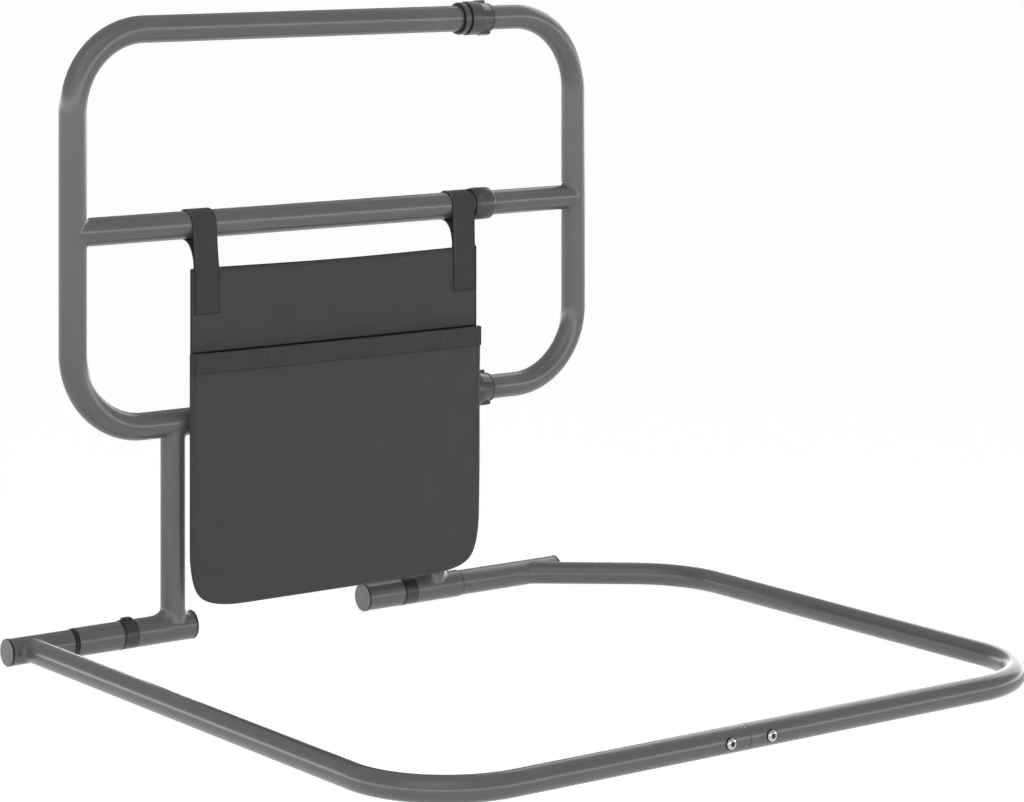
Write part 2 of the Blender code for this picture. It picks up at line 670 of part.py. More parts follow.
def make_base():
    """The two halves of the under-mattress frame, their joiner, and the bolts and nuts through it."""
    z = FOOT_AXIS_Z
    flat_down = STEP / 2
    seam = SEAM_X - SEAT_GAP / 2
    left_corners = [at(LEFT_ARM_X, 0, z), at(LEFT_ARM_X, FRONT_BAR_Y, z), at(seam, FRONT_BAR_Y, z)]
    left_path = bent_path(left_corners, (BASE_CORNER_R,))
    left = bent_tube("base_left_tube", left_path, BASE_R, BASE_BORE_R, enamel, flat_down)
    weld_branch(left, "left arm", left_path[1], left_path[0], BASE_R, X_AXIS, FOOT_R)

    seam = SEAM_X + SEAT_GAP / 2
    flare_y = -(RIGHT_ARM_X - FLARE_FOOT_X) * math.tan(FLARE_ANGLE)
    right_corners = [
        at(FLARE_FOOT_X, 0, z),
        at(RIGHT_ARM_X, flare_y, z),
        at(RIGHT_ARM_X, FRONT_BAR_Y, z),
        at(seam, FRONT_BAR_Y, z),
    ]
    right_path = bent_path(right_corners, (FLARE_BEND_R, BASE_CORNER_R))
    right = bent_tube("base_right_tube", right_path, BASE_R, BASE_BORE_R, enamel, flat_down)
    weld_branch(right, "right arm", right_path[1], right_path[0], BASE_R, X_AXIS, FOOT_R, WELD_LEG, flare_toe)

    joiner_r = BASE_BORE_R - SEAT_GAP
    section = ring(JOINER_LENGTH, joiner_r, joiner_r - JOINER_WALL)
    start = at(SEAM_X - JOINER_LENGTH / 2, FRONT_BAR_Y, z)
    joiner = turned("base_joiner_sleeve", section, start, X_AXIS, zinc, reference=HALF_TURNED)
    for side, tube, x in (("left", left, SEAM_X - BOLT_OFFSET), ("right", right, SEAM_X + BOLT_OFFSET)):
        name = f"{side} bolt hole"
        near, inside = at(x, FRONT_BAR_Y - 2 * BASE_R, z), at(x, FRONT_BAR_Y, z)
        hole = add_cutter(name, rod_mesh(name, near, inside, BOLT_D / 2 + BOLT_HOLE_CLEARANCE, 12))
        boolean(tube, hole)
        boolean(joiner, hole)
        make_bolt(side, x)
        make_nut(side, x, joiner_r - JOINER_WALL)


def make_bolt(side, x):
    """A button-head bolt with a hexagon socket, its head on the frame's outer side."""
    seat = at(x, FRONT_BAR_Y - BASE_R * FLAT - SEAT_GAP, FOOT_AXIS_Z)
    profile = []
    for k in range(3):
        angle = math.pi / 2 * k / 3
        profile.append((BOLT_HEAD_H * math.sin(angle), BOLT_HEAD_D / 2 * math.cos(angle)))
    profile += [(BOLT_HEAD_H, 0), (-BOLT_LENGTH, 0), (-BOLT_LENGTH, BOLT_D / 2), (0, BOLT_D / 2)]
    bolt = turned(f"{side}_base_bolt", profile, seat, -Y_AXIS, zinc, 12)
    name = f"{side} bolt socket"
    top = seat - Y_AXIS * BOLT_HEAD_H
    bottom = top + Y_AXIS * BOLT_SOCKET_DEPTH
    socket = rod_mesh(name, bottom, top - Y_AXIS * BOLT_HEAD_H, BOLT_SOCKET_AF / math.sqrt(3), 6)
    boolean(bolt, add_cutter(name, socket))


def make_nut(side, x, joiner_bore_r):
    """A hexagon nut inside the joiner, behind its bolt hole."""
    corner = NUT_AF / math.sqrt(3)
    seat = math.sqrt((joiner_bore_r * FLAT) ** 2 - corner**2) - SEAT_GAP
    near = at(x, FRONT_BAR_Y - seat, FOOT_AXIS_Z)
    far = near + Y_AXIS * NUT_H
    name = f"{side}_base_nut"
    nut = add_piece(name, rod_mesh(name, near, far, corner, 6), zinc, smooth=False)
    name = f"{side} nut thread"
    past = Y_AXIS * NUT_H
    thread = rod_mesh(name, near - past, far + past, BOLT_D / 2 + THREAD_CLEARANCE, 12)
    boolean(nut, add_cutter(name, thread))


def make_twist_lock(name, z):
    """A twist lock: washer and base on the outer tube, a collet, and a ribbed nut that turns on the base."""
    base_x = OUTER_END_X - LOCK_SEAT_LENGTH
    nut_x = base_x + LOCK_BASE_LENGTH + LOCK_GROOVE
    washer = ring(LOCK_WASHER_LENGTH, LOCK_SEAT_R + LOCK_WASHER_WALL, LOCK_SEAT_R)
    spot = at(base_x - LOCK_WASHER_LENGTH - SEAT_GAP, 0, z)
    pieces = [turned(f"{name}_lock_washer", washer, spot, X_AXIS, black)]

    flange, neck = LOCK_BASE_LENGTH, LOCK_SEAT_LENGTH
    profile = [(0, LOCK_FLANGE_R), (flange, LOCK_FLANGE_R), (flange, LOCK_NECK_R), (neck, LOCK_NECK_R)]
    profile += [(neck, LOCK_SEAT_R), (0, LOCK_SEAT_R)]
    pieces.append(turned(f"{name}_lock_base", profile, at(base_x, 0, z), X_AXIS, nylon))

    collet_r = INNER_R + SEAT_GAP
    collet_start = at(OUTER_END_X + SEAT_GAP, 0, z)
    section = ring(COLLET_LENGTH, collet_r + COLLET_WALL, collet_r)
    collet = turned(f"{name}_collet", section, collet_start, X_AXIS, black)
    low = collet_start + Vector((-SEAT_GAP, -COLLET_SLIT / 2, 0))
    high = collet_start + Vector((COLLET_LENGTH + SEAT_GAP, COLLET_SLIT / 2, TWIST_NUT_R))
    boolean(collet, add_cutter(f"{name} slit", box_mesh(f"{name} slit", low, high)))
    pieces.append(collet)
    return pieces, [make_twist_nut(name, at(nut_x, 0, z), OUTER_END_X - nut_x)]


def make_twist_nut(name, start, seat_depth):
    """The nut: straight, then tapered, with grip ribs along the taper, bored for base, collet and tube."""
    length, edge = TWIST_NUT_LENGTH, TWIST_NUT_EDGE
    end_r = TWIST_NUT_PASS_R + TWIST_NUT_END_WALL
    profile = [(0, 0), (0, TWIST_NUT_R - edge), (edge, TWIST_NUT_R), (TWIST_NUT_STRAIGHT, TWIST_NUT_R)]
    profile += [(length - edge, end_r), (length, end_r - edge), (length, 0)]
    nut = turned(f"{name}_twist_nut", profile, start, X_AXIS, nylon, NUT_SIDES)
    rib_low = Vector((TWIST_NUT_STRAIGHT - edge, -RIB_WIDTH / 2, TWIST_NUT_PASS_R + edge))
    rib_high = Vector((TWIST_NUT_STRAIGHT - edge + RIB_LENGTH, RIB_WIDTH / 2, RIB_TOP_R))
    for k in range(RIB_COUNT):
        angle = RIB_ANGLE + 2 * math.pi * k / RIB_COUNT
        radial = -Y_AXIS * math.cos(angle) + Z_AXIS * math.sin(angle)
        facing = Matrix((X_AXIS, radial.cross(X_AXIS), radial)).transposed().to_4x4()
        label = f"{name} rib {k + 1}"
        rib = box_mesh(label, rib_low, rib_high, Matrix.Translation(start) @ facing)
        boolean(nut, add_cutter(label, rib), "UNION")
    depth = seat_depth + COLLET_LENGTH + 2 * SEAT_GAP
    past = TWIST_NUT_LENGTH
    cavity = [(-past, 0), (-past, TWIST_NUT_CAVITY_R), (depth, TWIST_NUT_CAVITY_R), (depth, TWIST_NUT_PASS_R)]
    cavity += [(2 * past, TWIST_NUT_PASS_R), (2 * past, 0)]
    boolean(nut, turned(f"{name} nut cavity", cavity, start, X_AXIS, sides=NUT_SIDES))
    return nut


def make_guide_collar():
    """The plain collar at the end of the middle bar's outer tube, and the dark ring behind it."""
    seat_r = MIDDLE_R + SEAT_GAP
    pass_r = SLIDER_R + SEAT_GAP
    outer = seat_r + GUIDE_WALL
    lip_r = pass_r + GUIDE_LIP
    step = GUIDE_SEAT_LENGTH + SEAT_GAP
    profile = [(step, pass_r), (step, seat_r), (0, seat_r), (0, outer)]
    for k in range(4):
        angle = math.pi / 2 * k / 3
        along = GUIDE_LENGTH - GUIDE_ROUND + GUIDE_ROUND * math.sin(angle)
        profile.append((along, lip_r + (outer - lip_r) * math.cos(angle)))
    profile.append((GUIDE_LENGTH, pass_r))
    x = OUTER_END_X - GUIDE_SEAT_LENGTH
    collar = turned("middle_guide_collar", profile, at(x, 0, 0), X_AXIS, nylon)
    section = ring(GUIDE_RING_LENGTH, seat_r + GUIDE_RING_WALL, seat_r)
    spot = at(x - SEAT_GAP - GUIDE_RING_LENGTH, 0, 0)
    return [collar, turned("middle_guide_ring", section, spot, X_AXIS, black)]


def evenly(count):
    """The values from 0 to 1 that divide it into equal steps."""
    return [k / count for k in range(count + 1)]


def cloth_piece(name, surface, columns, rows, material):
    """A cloth sheet: surface(u, v) at each u of columns and v of rows, thickened on its outer side."""
    edit = bmesh.new()
    grid = [[edit.verts.new(surface(u, v)) for u in columns] for v in rows]
    for upper, lower in zip(grid, grid[1:]):
        for c in range(len(columns) - 1):
            edit.faces.new((upper[c], lower[c], lower[c + 1], upper[c + 1]))
    mesh = bpy.data.meshes.new(name)
    edit.to_mesh(mesh)
    edit.free()
    piece = add_piece(name, mesh, material)
    thicken = piece.modifiers.new("cloth thickness", "SOLIDIFY")
    thicken.thickness = CLOTH
    thicken.offset = 1.0
    thicken.use_even_offset = True
    return piece


def make_pouch():
    """The pouch: a back panel that rests on the bottom lock, a pocket with a hem, and two straps."""
    back_y = -TWIST_NUT_R - SEAT_GAP
    front_y = back_y - CLOTH
    pocket_y = front_y - CLOTH_GAP
    bottom_z = POUCH_TOP_Z - POUCH_HEIGHT
    pocket_top_z = bottom_z + POCKET_DEPTH
    radius = POUCH_CORNER_R

    def corner_inset(z):
        drop = max(bottom_z + radius - z, 0)
        return radius - math.sqrt(max(radius**2 - drop**2, 0))

    def row_z(top, v):
        """Heights that close up towards the round lower corners."""
        return top + (bottom_z - top) * math.sin(math.pi / 2 * v)

    def bulge(u, v):
        """The pocket's sides and bottom stand off the panel like a gusset, and its middle is fuller."""
        if u in (0, 1) or v == 1:
            return 0
        crown = math.sqrt(math.sin(math.pi * u) * math.cos(math.pi / 2 * v))
        return POCKET_GUSSET + POCKET_CROWN * crown

    def across(u, inset):
        return POUCH_X + inset + (POUCH_WIDTH - 2 * inset) * u

    def back_panel(u, v):
        z = row_z(POUCH_TOP_Z, v)
        return at(across(u, corner_inset(z)), back_y, z)

    def pocket(u, v):
        z = row_z(pocket_top_z, v)
        return at(across(u, corner_inset(z)), pocket_y - bulge(u, v), z)

    def hem(u, v):
        z = pocket_top_z - HEM_HEIGHT * v
        return at(across(u, -CLOTH - CLOTH_GAP), pocket_y - CLOTH - CLOTH_GAP - bulge(u, 0), z)

    pieces = [
        cloth_piece("pouch_back_panel", back_panel, evenly(1), evenly(12), cloth),
        cloth_piece("pouch_pocket", pocket, POCKET_COLUMNS, POCKET_ROWS, cloth),
        cloth_piece("pouch_pocket_hem", hem, POCKET_COLUMNS, evenly(1), cloth),
    ]
    path = strap_path(front_y - CLOTH_GAP, back_y + CLOTH_GAP)
    right_x = POUCH_X + POUCH_WIDTH - RIGHT_STRAP_INSET - STRAP_WIDTH
    for side, x, lean in (("left", POUCH_X + LEFT_STRAP_INSET, 0), ("right", right_x, RIGHT_STRAP_LEAN)):

        def strap(u, v, x=x, lean=lean):
            y, z = path[round(v * (len(path) - 1))]
            free = min(max(1 - z / POUCH_TOP_Z, 0), 1)
            return at(x + STRAP_WIDTH * u + lean * free, y, z)

        pieces.append(cloth_piece(f"{side}_pouch_strap", strap, evenly(1), evenly(len(path) - 1), webbing))
    return pieces


def strap_path(front_y, behind_y):
    """A strap's inner side: behind the pouch, forward under the middle bar, over it, and down in front."""
    loop_r = (MIDDLE_R + SEAT_GAP) / FLAT
    loop = []
    for k in range(STRAP_LOOP_STEPS + 1):
        angle = STRAP_LOOP_START + (STRAP_LOOP_END - STRAP_LOOP_START) * k / STRAP_LOOP_STEPS
        loop.append((loop_r * math.cos(angle), loop_r * math.sin(angle)))
    reach_y, reach_z = loop[0][0] - behind_y, loop[0][1] - POUCH_TOP_Z
    behind = [(behind_y, POUCH_TOP_Z - STRAP_BACK_LAP), (behind_y, POUCH_TOP_Z)]
    for k in range(1, STRAP_SWEEP_STEPS):
        angle = math.pi / 2 * k / STRAP_SWEEP_STEPS
        sweep_y = behind_y + reach_y * (1 - math.cos(angle))
        behind.append((sweep_y, POUCH_TOP_Z + reach_z * math.sin(angle)))
    return [*behind, *loop, (front_y, POUCH_TOP_Z), (front_y, POUCH_TOP_Z - STRAP_FRONT_LAP)]


def carry(name, place, pieces, parent=None):
    """An empty on a joint's axis that carries the pieces which move with it."""
    holder = bpy.data.objects.new(name, None)
    helpers.objects.link(holder)
    holder.location = place
    bpy.context.view_layer.update()
    for piece in pieces:
        piece.parent = holder
        piece.matrix_parent_inverse = holder.matrix_world.inverted()
    if parent:
        holder.parent = parent
        holder.matrix_parent_inverse = parent.matrix_world.inverted()
    return holder


clear_scene()
parts = new_collection("bed rail")
helpers = new_collection("cutters and joint axes")
enamel = new_material("grey enamelled steel", (0.105, 0.105, 0.110), 0.42, 0.3)
zinc = new_material("zinc plated steel", (0.62, 0.62, 0.62), 0.3, 1.0)
nylon = new_material("dark grey moulded nylon", (0.070, 0.070, 0.072), 0.5)
black = new_material("black moulded plastic", (0.018, 0.018, 0.019), 0.55)
cap_grey = new_material("grey moulded cap", (0.19, 0.19, 0.19), 0.5)
cloth = new_material("dark grey woven polyester", (0.061, 0.061, 0.062), 0.9)
webbing = new_material("dark grey webbing", (0.048, 0.048, 0.048), 0.9)

make_base()
make_hinge_line()

outer_tubes = (OUTER_R, OUTER_BORE_R, MIDDLE_R, MIDDLE_BORE_R)
rail_pieces = make_handle_half("outer_handle_tube", "middle_sleeve_tube", OUTER_END_X, 0, *outer_tubes)
rail_pieces += [make_post("left_post", LEFT_POST_X), make_post("right_post", RIGHT_POST_X)]
rail_pieces += make_tee("left", LEFT_TEE_X, LEFT_TEE_LENGTH)
rail_pieces += make_tee("right", RIGHT_TEE_X, RIGHT_TEE_LENGTH)
rail_pieces.append(make_cap("left_tee_cap", LEFT_TEE_END_X, -X_AXIS, TEE_R, TEE_BORE_R))
rail_pieces += make_guide_collar()
left_collar, left_button = make_lock_collar("left", LEFT_COLLAR_X)
right_collar, right_button = make_lock_collar("right", RIGHT_COLLAR_X)
top_lock, top_nut = make_twist_lock("top", TOP_BAR_Z)
bottom_lock, bottom_nut = make_twist_lock("bottom", BOTTOM_BAR_Z)
rail_pieces += left_collar + right_collar + top_lock + bottom_lock

inner_tubes = (INNER_R, INNER_BORE_R, SLIDER_R, SLIDER_BORE_R)
slide_pieces = make_handle_half(
    "inner_handle_tube", "middle_inner_tube", INNER_START_X, UPRIGHT_SPACING, *inner_tubes
)
slide_pieces += make_glides()

rail_axis = carry("rail fold axis", at(0, 0, FOOT_AXIS_Z), rail_pieces)
carry("handle slide axis", at(UPRIGHT_SPACING, 0, 0), slide_pieces, rail_axis)
carry("pouch swing axis", at(0, 0, 0), make_pouch(), rail_axis)
carry("top nut axis", at(OUTER_END_X, 0, TOP_BAR_Z), top_nut, rail_axis)
carry("bottom nut axis", at(OUTER_END_X, 0, BOTTOM_BAR_Z), bottom_nut, rail_axis)
button_z = FOOT_AXIS_Z + TEE_R
carry("left button travel", at(LEFT_COLLAR_X + COLLAR_LENGTH / 2, 0, button_z), left_button, rail_axis)
carry("right button travel", at(RIGHT_COLLAR_X + COLLAR_LENGTH / 2, 0, button_z), right_button, rail_axis)
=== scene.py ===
# %% [markdown]
# # Dressing a bed rail
#
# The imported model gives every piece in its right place, but its tubes are many-sided and have no
# finish. This lesson works out each visible piece again as a smooth surface, gives it the material
# that the real one has, and lets it ride on the body that it moves with.

# %% Load the frame and keep its box
import json

import bpy
import numpy as np

from mathutils import Euler, Matrix, Vector


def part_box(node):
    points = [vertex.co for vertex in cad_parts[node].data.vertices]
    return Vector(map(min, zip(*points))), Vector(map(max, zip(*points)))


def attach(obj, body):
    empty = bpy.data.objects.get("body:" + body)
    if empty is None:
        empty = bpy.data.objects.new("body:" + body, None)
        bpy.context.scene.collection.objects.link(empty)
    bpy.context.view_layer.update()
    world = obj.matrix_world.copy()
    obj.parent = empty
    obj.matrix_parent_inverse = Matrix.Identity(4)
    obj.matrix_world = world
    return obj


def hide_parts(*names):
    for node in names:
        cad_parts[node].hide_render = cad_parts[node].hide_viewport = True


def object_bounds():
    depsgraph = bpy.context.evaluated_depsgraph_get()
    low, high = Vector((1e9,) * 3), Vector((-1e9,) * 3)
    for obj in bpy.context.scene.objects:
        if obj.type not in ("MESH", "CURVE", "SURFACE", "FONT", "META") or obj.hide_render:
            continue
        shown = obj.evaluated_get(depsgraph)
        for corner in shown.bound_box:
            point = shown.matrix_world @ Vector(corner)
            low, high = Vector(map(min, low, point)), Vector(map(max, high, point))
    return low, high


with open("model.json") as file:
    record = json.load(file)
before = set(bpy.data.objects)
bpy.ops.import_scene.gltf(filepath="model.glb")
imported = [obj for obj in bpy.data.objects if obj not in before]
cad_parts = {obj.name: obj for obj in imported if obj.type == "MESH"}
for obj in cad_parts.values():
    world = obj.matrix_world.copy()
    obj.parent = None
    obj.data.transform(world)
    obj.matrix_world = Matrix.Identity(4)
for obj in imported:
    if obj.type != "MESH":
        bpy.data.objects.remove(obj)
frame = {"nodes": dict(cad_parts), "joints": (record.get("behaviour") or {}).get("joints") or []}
cad_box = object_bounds()
joints = {joint["name"]: joint for joint in frame["joints"]}

# %% [markdown]
# ## Where things are
#
# All places are given from three construction lines: the axis of the left upright (x = 0), the plane
# of the rail (y = 0) and the axis of the middle bar (z = 0). The joints say where these lines lie, so
# nothing has to be measured twice. The fold joint runs through the hinge line, the pouch hangs on the
# middle bar, and the two twist locks sit on the top and bottom bars.

# %% The construction lines
HINGE = np.array(joints["rail_fold"]["pos_m"])
MIDDLE = np.array(joints["pouch_swing"]["pos_m"])
HOME = np.array([HINGE[0], HINGE[1], MIDDLE[2]])
TOP_Z = joints["top_nut_turn"]["pos_m"][2] - HOME[2]
BOTTOM_Z = joints["bottom_nut_turn"]["pos_m"][2] - HOME[2]
FOOT_Z = HINGE[2] - HOME[2]
X, Y, Z = np.eye(3)


def at(x, y, z):
    """A point from the construction lines, in the frame's own axes."""
    return np.array([x, y, z]) + HOME


def span(node):
    """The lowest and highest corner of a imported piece, from the construction lines."""
    low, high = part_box(node)
    return np.array(low) - HOME, np.array(high) - HOME


print(f"bars at {TOP_Z * 1000:.1f}, 0 and {BOTTOM_Z * 1000:.1f} mm, hinge line at {FOOT_Z * 1000:.1f} mm")

# %% [markdown]
# ## From a grid of points to a mesh
#
# Nearly every piece is a tube, a turned ring or a sheet, and each of these is a grid: rows along it
# and columns round it. One function turns such a grid into a mesh. It joins the last column to the
# first where the shape goes round, and closes the ends with a flat fan to one middle point. The volume
# of a closed shape is negative when its faces point inwards, so that is tested and put right.


# %% Make a mesh from a grid
def faces_of(rows, columns, around, along):
    """Four corners for each cell of the grid, as rows of vertex numbers."""
    i, j = np.arange(rows - (not along)), np.arange(columns - (not around))
    i, j = np.meshgrid(i, j, indexing="ij")
    down, right = (i + 1) % rows, (j + 1) % columns
    cells = np.stack([i * columns + j, i * columns + right, down * columns + right, down * columns + j], -1)
    return cells.reshape(-1, 4)


def inside_out(points, cells, fans=()):
    """A sixth of the sum of a . (b x c) over the triangles is the volume: is it negative?"""
    halves = [cells[:, [0, 1, 2]], cells[:, [0, 2, 3]], *([fans] if len(fans) else [])]
    a, b, c = ((points - points.mean(0))[np.vstack(halves)[:, k]] for k in range(3))
    return np.einsum("ij,ij->i", a, np.cross(b, c)).sum() / 6 < 0


def new_object(name, points, faces, smooth=True):
    """An object in the scene with these points and faces, all smooth or with a flag for each face."""
    mesh = bpy.data.meshes.new(name)
    mesh.from_pydata(points.tolist(), [], faces)
    mesh.polygons.foreach_set("use_smooth", np.broadcast_to(smooth, len(faces)).astype(bool))
    mesh.update()
    piece = bpy.data.objects.new(name, mesh)
    bpy.context.scene.collection.objects.link(piece)
    return piece


def make_piece(name, grid, along=False):
    """An object whose mesh is the grid. Its ends are joined to each other, or closed by a fan each."""
    rows, columns = grid.shape[:2]
    points = grid.reshape(-1, 3)
    cells = faces_of(rows, columns, True, along)
    fans = np.empty((0, 3), int)
    if not along:
        middles = np.array([grid[0].mean(0), grid[-1].mean(0)])
        ring = np.arange(columns)
        after = (ring + 1) % columns
        first = np.stack([np.full(columns, len(points)), after, ring], -1)
        base = (rows - 1) * columns
        last = np.stack([np.full(columns, len(points) + 1), base + ring, base + after], -1)
        fans = np.vstack([first, last])
        points = np.vstack([points, middles])
    if inside_out(points, cells, fans):
        cells, fans = cells[:, ::-1], fans[:, ::-1]
    curved = np.arange(len(cells) + len(fans)) < len(cells)
    return new_object(name, points, cells.tolist() + fans.tolist(), curved)


# %% [markdown]
# ## Colours and materials
#
# A colour is written as the hex value that a picture shows, and one function turns it to the linear
# numbers that a shader wants. One more function adds a node with its settings and its links, so each
# material below reads from top to bottom like a recipe.


# %% Colour and node helpers
def colour(code):
    """A hex sRGB colour as linear red, green, blue and alpha."""
    part = np.array([int(code[k : k + 2], 16) for k in (1, 3, 5)]) / 255
    linear = np.where(part <= 0.04045, part / 12.92, ((part + 0.055) / 1.055) ** 2.4)
    return (*linear.tolist(), 1.0)


def add_node(tree, kind, inputs=None, **settings):
    """A new node: settings are its properties, and inputs are values or other nodes' outputs."""
    node = tree.nodes.new(kind)
    for key, value in settings.items():
        setattr(node, key, value)
    for key, value in (inputs or {}).items():
        if isinstance(value, bpy.types.NodeSocket):
            tree.links.new(value, node.inputs[key])
        else:
            node.inputs[key].default_value = value
    return node


def new_material(name):
    """An empty material: its tree and its output node."""
    material = bpy.data.materials.new(name)
    material.use_nodes = True
    material.node_tree.nodes.clear()
    output = add_node(material.node_tree, "ShaderNodeOutputMaterial")
    return material, material.node_tree, output


def finish_with(tree, output, shader):
    tree.links.new(shader.outputs[0], output.inputs["Surface"])


# %% [markdown]
# ### Powder-coated steel
#
# The tubes are mild steel with a baked powder coat in gunmetal grey. Powder melts into a skin with a
# fine orange peel, about a millimetre from dimple to dimple and only hundredths deep, so it shows as a
# slight spread of the highlights and not as bumps. The colour is even, with a faint cloudiness where
# the coat is thinner.


# %% Powder-coated steel
def powder_coat(name, base, light):
    """Two close greys mixed by slow noise, and a fine noise that spreads the gloss."""
    material, tree, output = new_material(name)
    place = add_node(tree, "ShaderNodeTexCoord").outputs["Object"]
    cloud = add_node(tree, "ShaderNodeTexNoise", {"Vector": place, "Scale": 14, "Detail": 3})
    tint = add_node(
        tree, "ShaderNodeMix", {0: cloud.outputs[0], 6: colour(base), 7: colour(light)}, data_type="RGBA"
    )
    peel = add_node(tree, "ShaderNodeTexNoise", {"Vector": place, "Scale": 900, "Detail": 2})
    gloss = {"Value": peel.outputs[0], "To Min": 0.2, "To Max": 0.3}
    spread = add_node(tree, "ShaderNodeMapRange", gloss)
    dimples = {"Height": peel.outputs[0], "Strength": 0.12, "Distance": 0.0002}
    bump = add_node(tree, "ShaderNodeBump", dimples)
    surface = {"Base Color": tint.outputs[2], "Metallic": 0.05, "Roughness": spread.outputs[0]}
    shader = add_node(tree, "ShaderNodeBsdfPrincipled", {**surface, "Normal": bump.outputs[0]})
    finish_with(tree, output, shader)
    return material


steel_paint = powder_coat("powder-coated steel", "#565659", "#5e5e60")

# %% [markdown]
# ### Moulded plastics
#
# The lock parts are glass-filled nylon, moulded in a spark-eroded tool that leaves a fine matt grain.
# The lock collars are darker than the twist nuts. The rings that seal and space them are black and
# smoother, and the end caps are polypropylene in a lighter grey. The same black also paints shade: in
# the gaps of the hinge line, in the lock grooves, under the bolts' heads, in their sockets and partly
# round the caps' rims. One recipe serves them all: what differs is the colour, the gloss and how
# coarse the grain is, in millimetres.


# %% Moulded plastics
def moulded(name, base, roughness, grain_mm):
    """One colour with a faint mottle, and a grain whose dimples are grain_mm across."""
    material, tree, output = new_material(name)
    place = add_node(tree, "ShaderNodeTexCoord").outputs["Object"]
    grain = add_node(tree, "ShaderNodeTexNoise", {"Vector": place, "Scale": 1000 / grain_mm, "Detail": 1})
    flow = add_node(tree, "ShaderNodeTexNoise", {"Vector": place, "Scale": 60, "Detail": 2})
    dark = tuple(0.88 * part for part in colour(base)[:3]) + (1.0,)
    tint = add_node(
        tree, "ShaderNodeMix", {0: flow.outputs[0], 6: dark, 7: colour(base)}, data_type="RGBA"
    )
    dimples = {"Height": grain.outputs[0], "Strength": 0.15, "Distance": 0.0002}
    bump = add_node(tree, "ShaderNodeBump", dimples)
    surface = {"Base Color": tint.outputs[2], "Roughness": roughness, "Normal": bump.outputs[0]}
    finish_with(tree, output, add_node(tree, "ShaderNodeBsdfPrincipled", surface))
    return material


grey_nylon = moulded("glass-filled nylon, spark-eroded grain", "#434344", 0.3, 0.9)
# A darker grey of the same nylon, for the lock collars.
dark_nylon = moulded("glass-filled nylon, darker batch", "#2f2f30", 0.34, 0.9)
# This black is also painted shade, in the rings and plugs that stand for gaps, grooves and shadows.
black_plastic = moulded("black acetal, smooth", "#050506", 0.6, 1.5)
cap_plastic = moulded("grey polypropylene, satin", "#6b6b6b", 0.45, 1.1)

# %% [markdown]
# ### Zinc-plated steel
#
# The button-head bolts are bright zinc over steel. The plating is a real metal surface, so the shader
# is fully metallic and keeps the default IOR, and a little noise in the roughness stands for handling.


# %% Zinc-plated steel
def zinc_plate():
    material, tree, output = new_material("bright zinc plate")
    place = add_node(tree, "ShaderNodeTexCoord").outputs["Object"]
    rub = add_node(tree, "ShaderNodeTexNoise", {"Vector": place, "Scale": 700, "Detail": 2})
    spread = add_node(tree, "ShaderNodeMapRange", {"Value": rub.outputs[0], "To Min": 0.14, "To Max": 0.26})
    surface = {"Base Color": colour("#b9babc"), "Metallic": 1.0, "Roughness": spread.outputs[0]}
    finish_with(tree, output, add_node(tree, "ShaderNodeBsdfPrincipled", surface))
    return material


zinc = zinc_plate()

# %% [markdown]
# ### Woven cloth and webbing
#
# The pouch is a plain-weave polyester of thick yarn, and its straps are flat webbing with ribs across
# them. A weave has to follow the cloth and not the room, so both read the piece's own UV map, which
# holds the distance along and across the cloth in metres. Two sine waves at right angles make the
# over-and-under of a plain weave. The real yarns are about 0.5 mm apart, which is finer than the
# render shows, so the pattern is drawn at 1.2 mm.


# %% Woven cloth and webbing
def woven(name, base, light, across_mm, along_mm, depth, sheen):
    """The product of two sine waves, one thread apart each way, as bump and as a faint change of tint."""
    material, tree, output = new_material(name)
    place = add_node(tree, "ShaderNodeTexCoord")
    parts = add_node(tree, "ShaderNodeSeparateXYZ", {0: place.outputs["UV"]})
    waves = []
    for axis, pitch in (("X", across_mm), ("Y", along_mm)):
        turns = {0: parts.outputs[axis], 1: np.pi * 1000 / pitch}
        phase = add_node(tree, "ShaderNodeMath", turns, operation="MULTIPLY")
        waves.append(add_node(tree, "ShaderNodeMath", {0: phase.outputs[0]}, operation="SINE"))
    both = {0: waves[0].outputs[0], 1: waves[1].outputs[0]}
    weave = add_node(tree, "ShaderNodeMath", both, operation="MULTIPLY")
    slub = add_node(
        tree, "ShaderNodeTexNoise", {"Vector": place.outputs["Object"], "Scale": 35, "Detail": 5}
    )
    level = {"Value": weave.outputs[0], "From Min": -1.0, "To Min": -0.12, "To Max": 0.12}
    level = add_node(tree, "ShaderNodeMapRange", level)
    share = add_node(
        tree, "ShaderNodeMath", {0: slub.outputs[0], 1: level.outputs[0]}, operation="ADD", use_clamp=True
    )
    tint = add_node(
        tree, "ShaderNodeMix", {0: share.outputs[0], 6: colour(base), 7: colour(light)}, data_type="RGBA"
    )
    bump = add_node(
        tree, "ShaderNodeBump", {"Height": weave.outputs[0], "Strength": depth, "Distance": 0.0003}
    )
    surface = {"Base Color": tint.outputs[2], "Roughness": 0.78, "Specular IOR Level": 0.25}
    surface |= {"Sheen Weight": sheen, "Sheen Roughness": 0.5, "Normal": bump.outputs[0]}
    finish_with(tree, output, add_node(tree, "ShaderNodeBsdfPrincipled", surface))
    return material


pouch_cloth = woven("plain-weave polyester", "#3a3a3a", "#424242", 1.2, 1.2, 0.25, 0.08)
band_cloth = woven("plain-weave polyester, doubled", "#333333", "#3a3a3a", 1.2, 1.2, 0.25, 0.08)
strap_webbing = woven("flat polyester webbing", "#323232", "#393939", 28.0, 1.3, 0.2, 0.05)
thread = moulded("bonded polyester thread", "#3e3e3e", 0.6, 0.6)
# A black cloth that is painted shade: behind the pocket's mouth, round the outline and along the folds.
black_cloth = woven("black lining cloth", "#262626", "#2c2c2c", 1.2, 1.2, 0.1, 0.0)

# %% [markdown]
# ## Setting a piece in place
#
# Every new piece does the same three things: it takes a material, rides on a body, and stands for the
# imported piece that it covers. The helper prints how far the new box lies from the imported one,
# because the looks must not change the sizes.


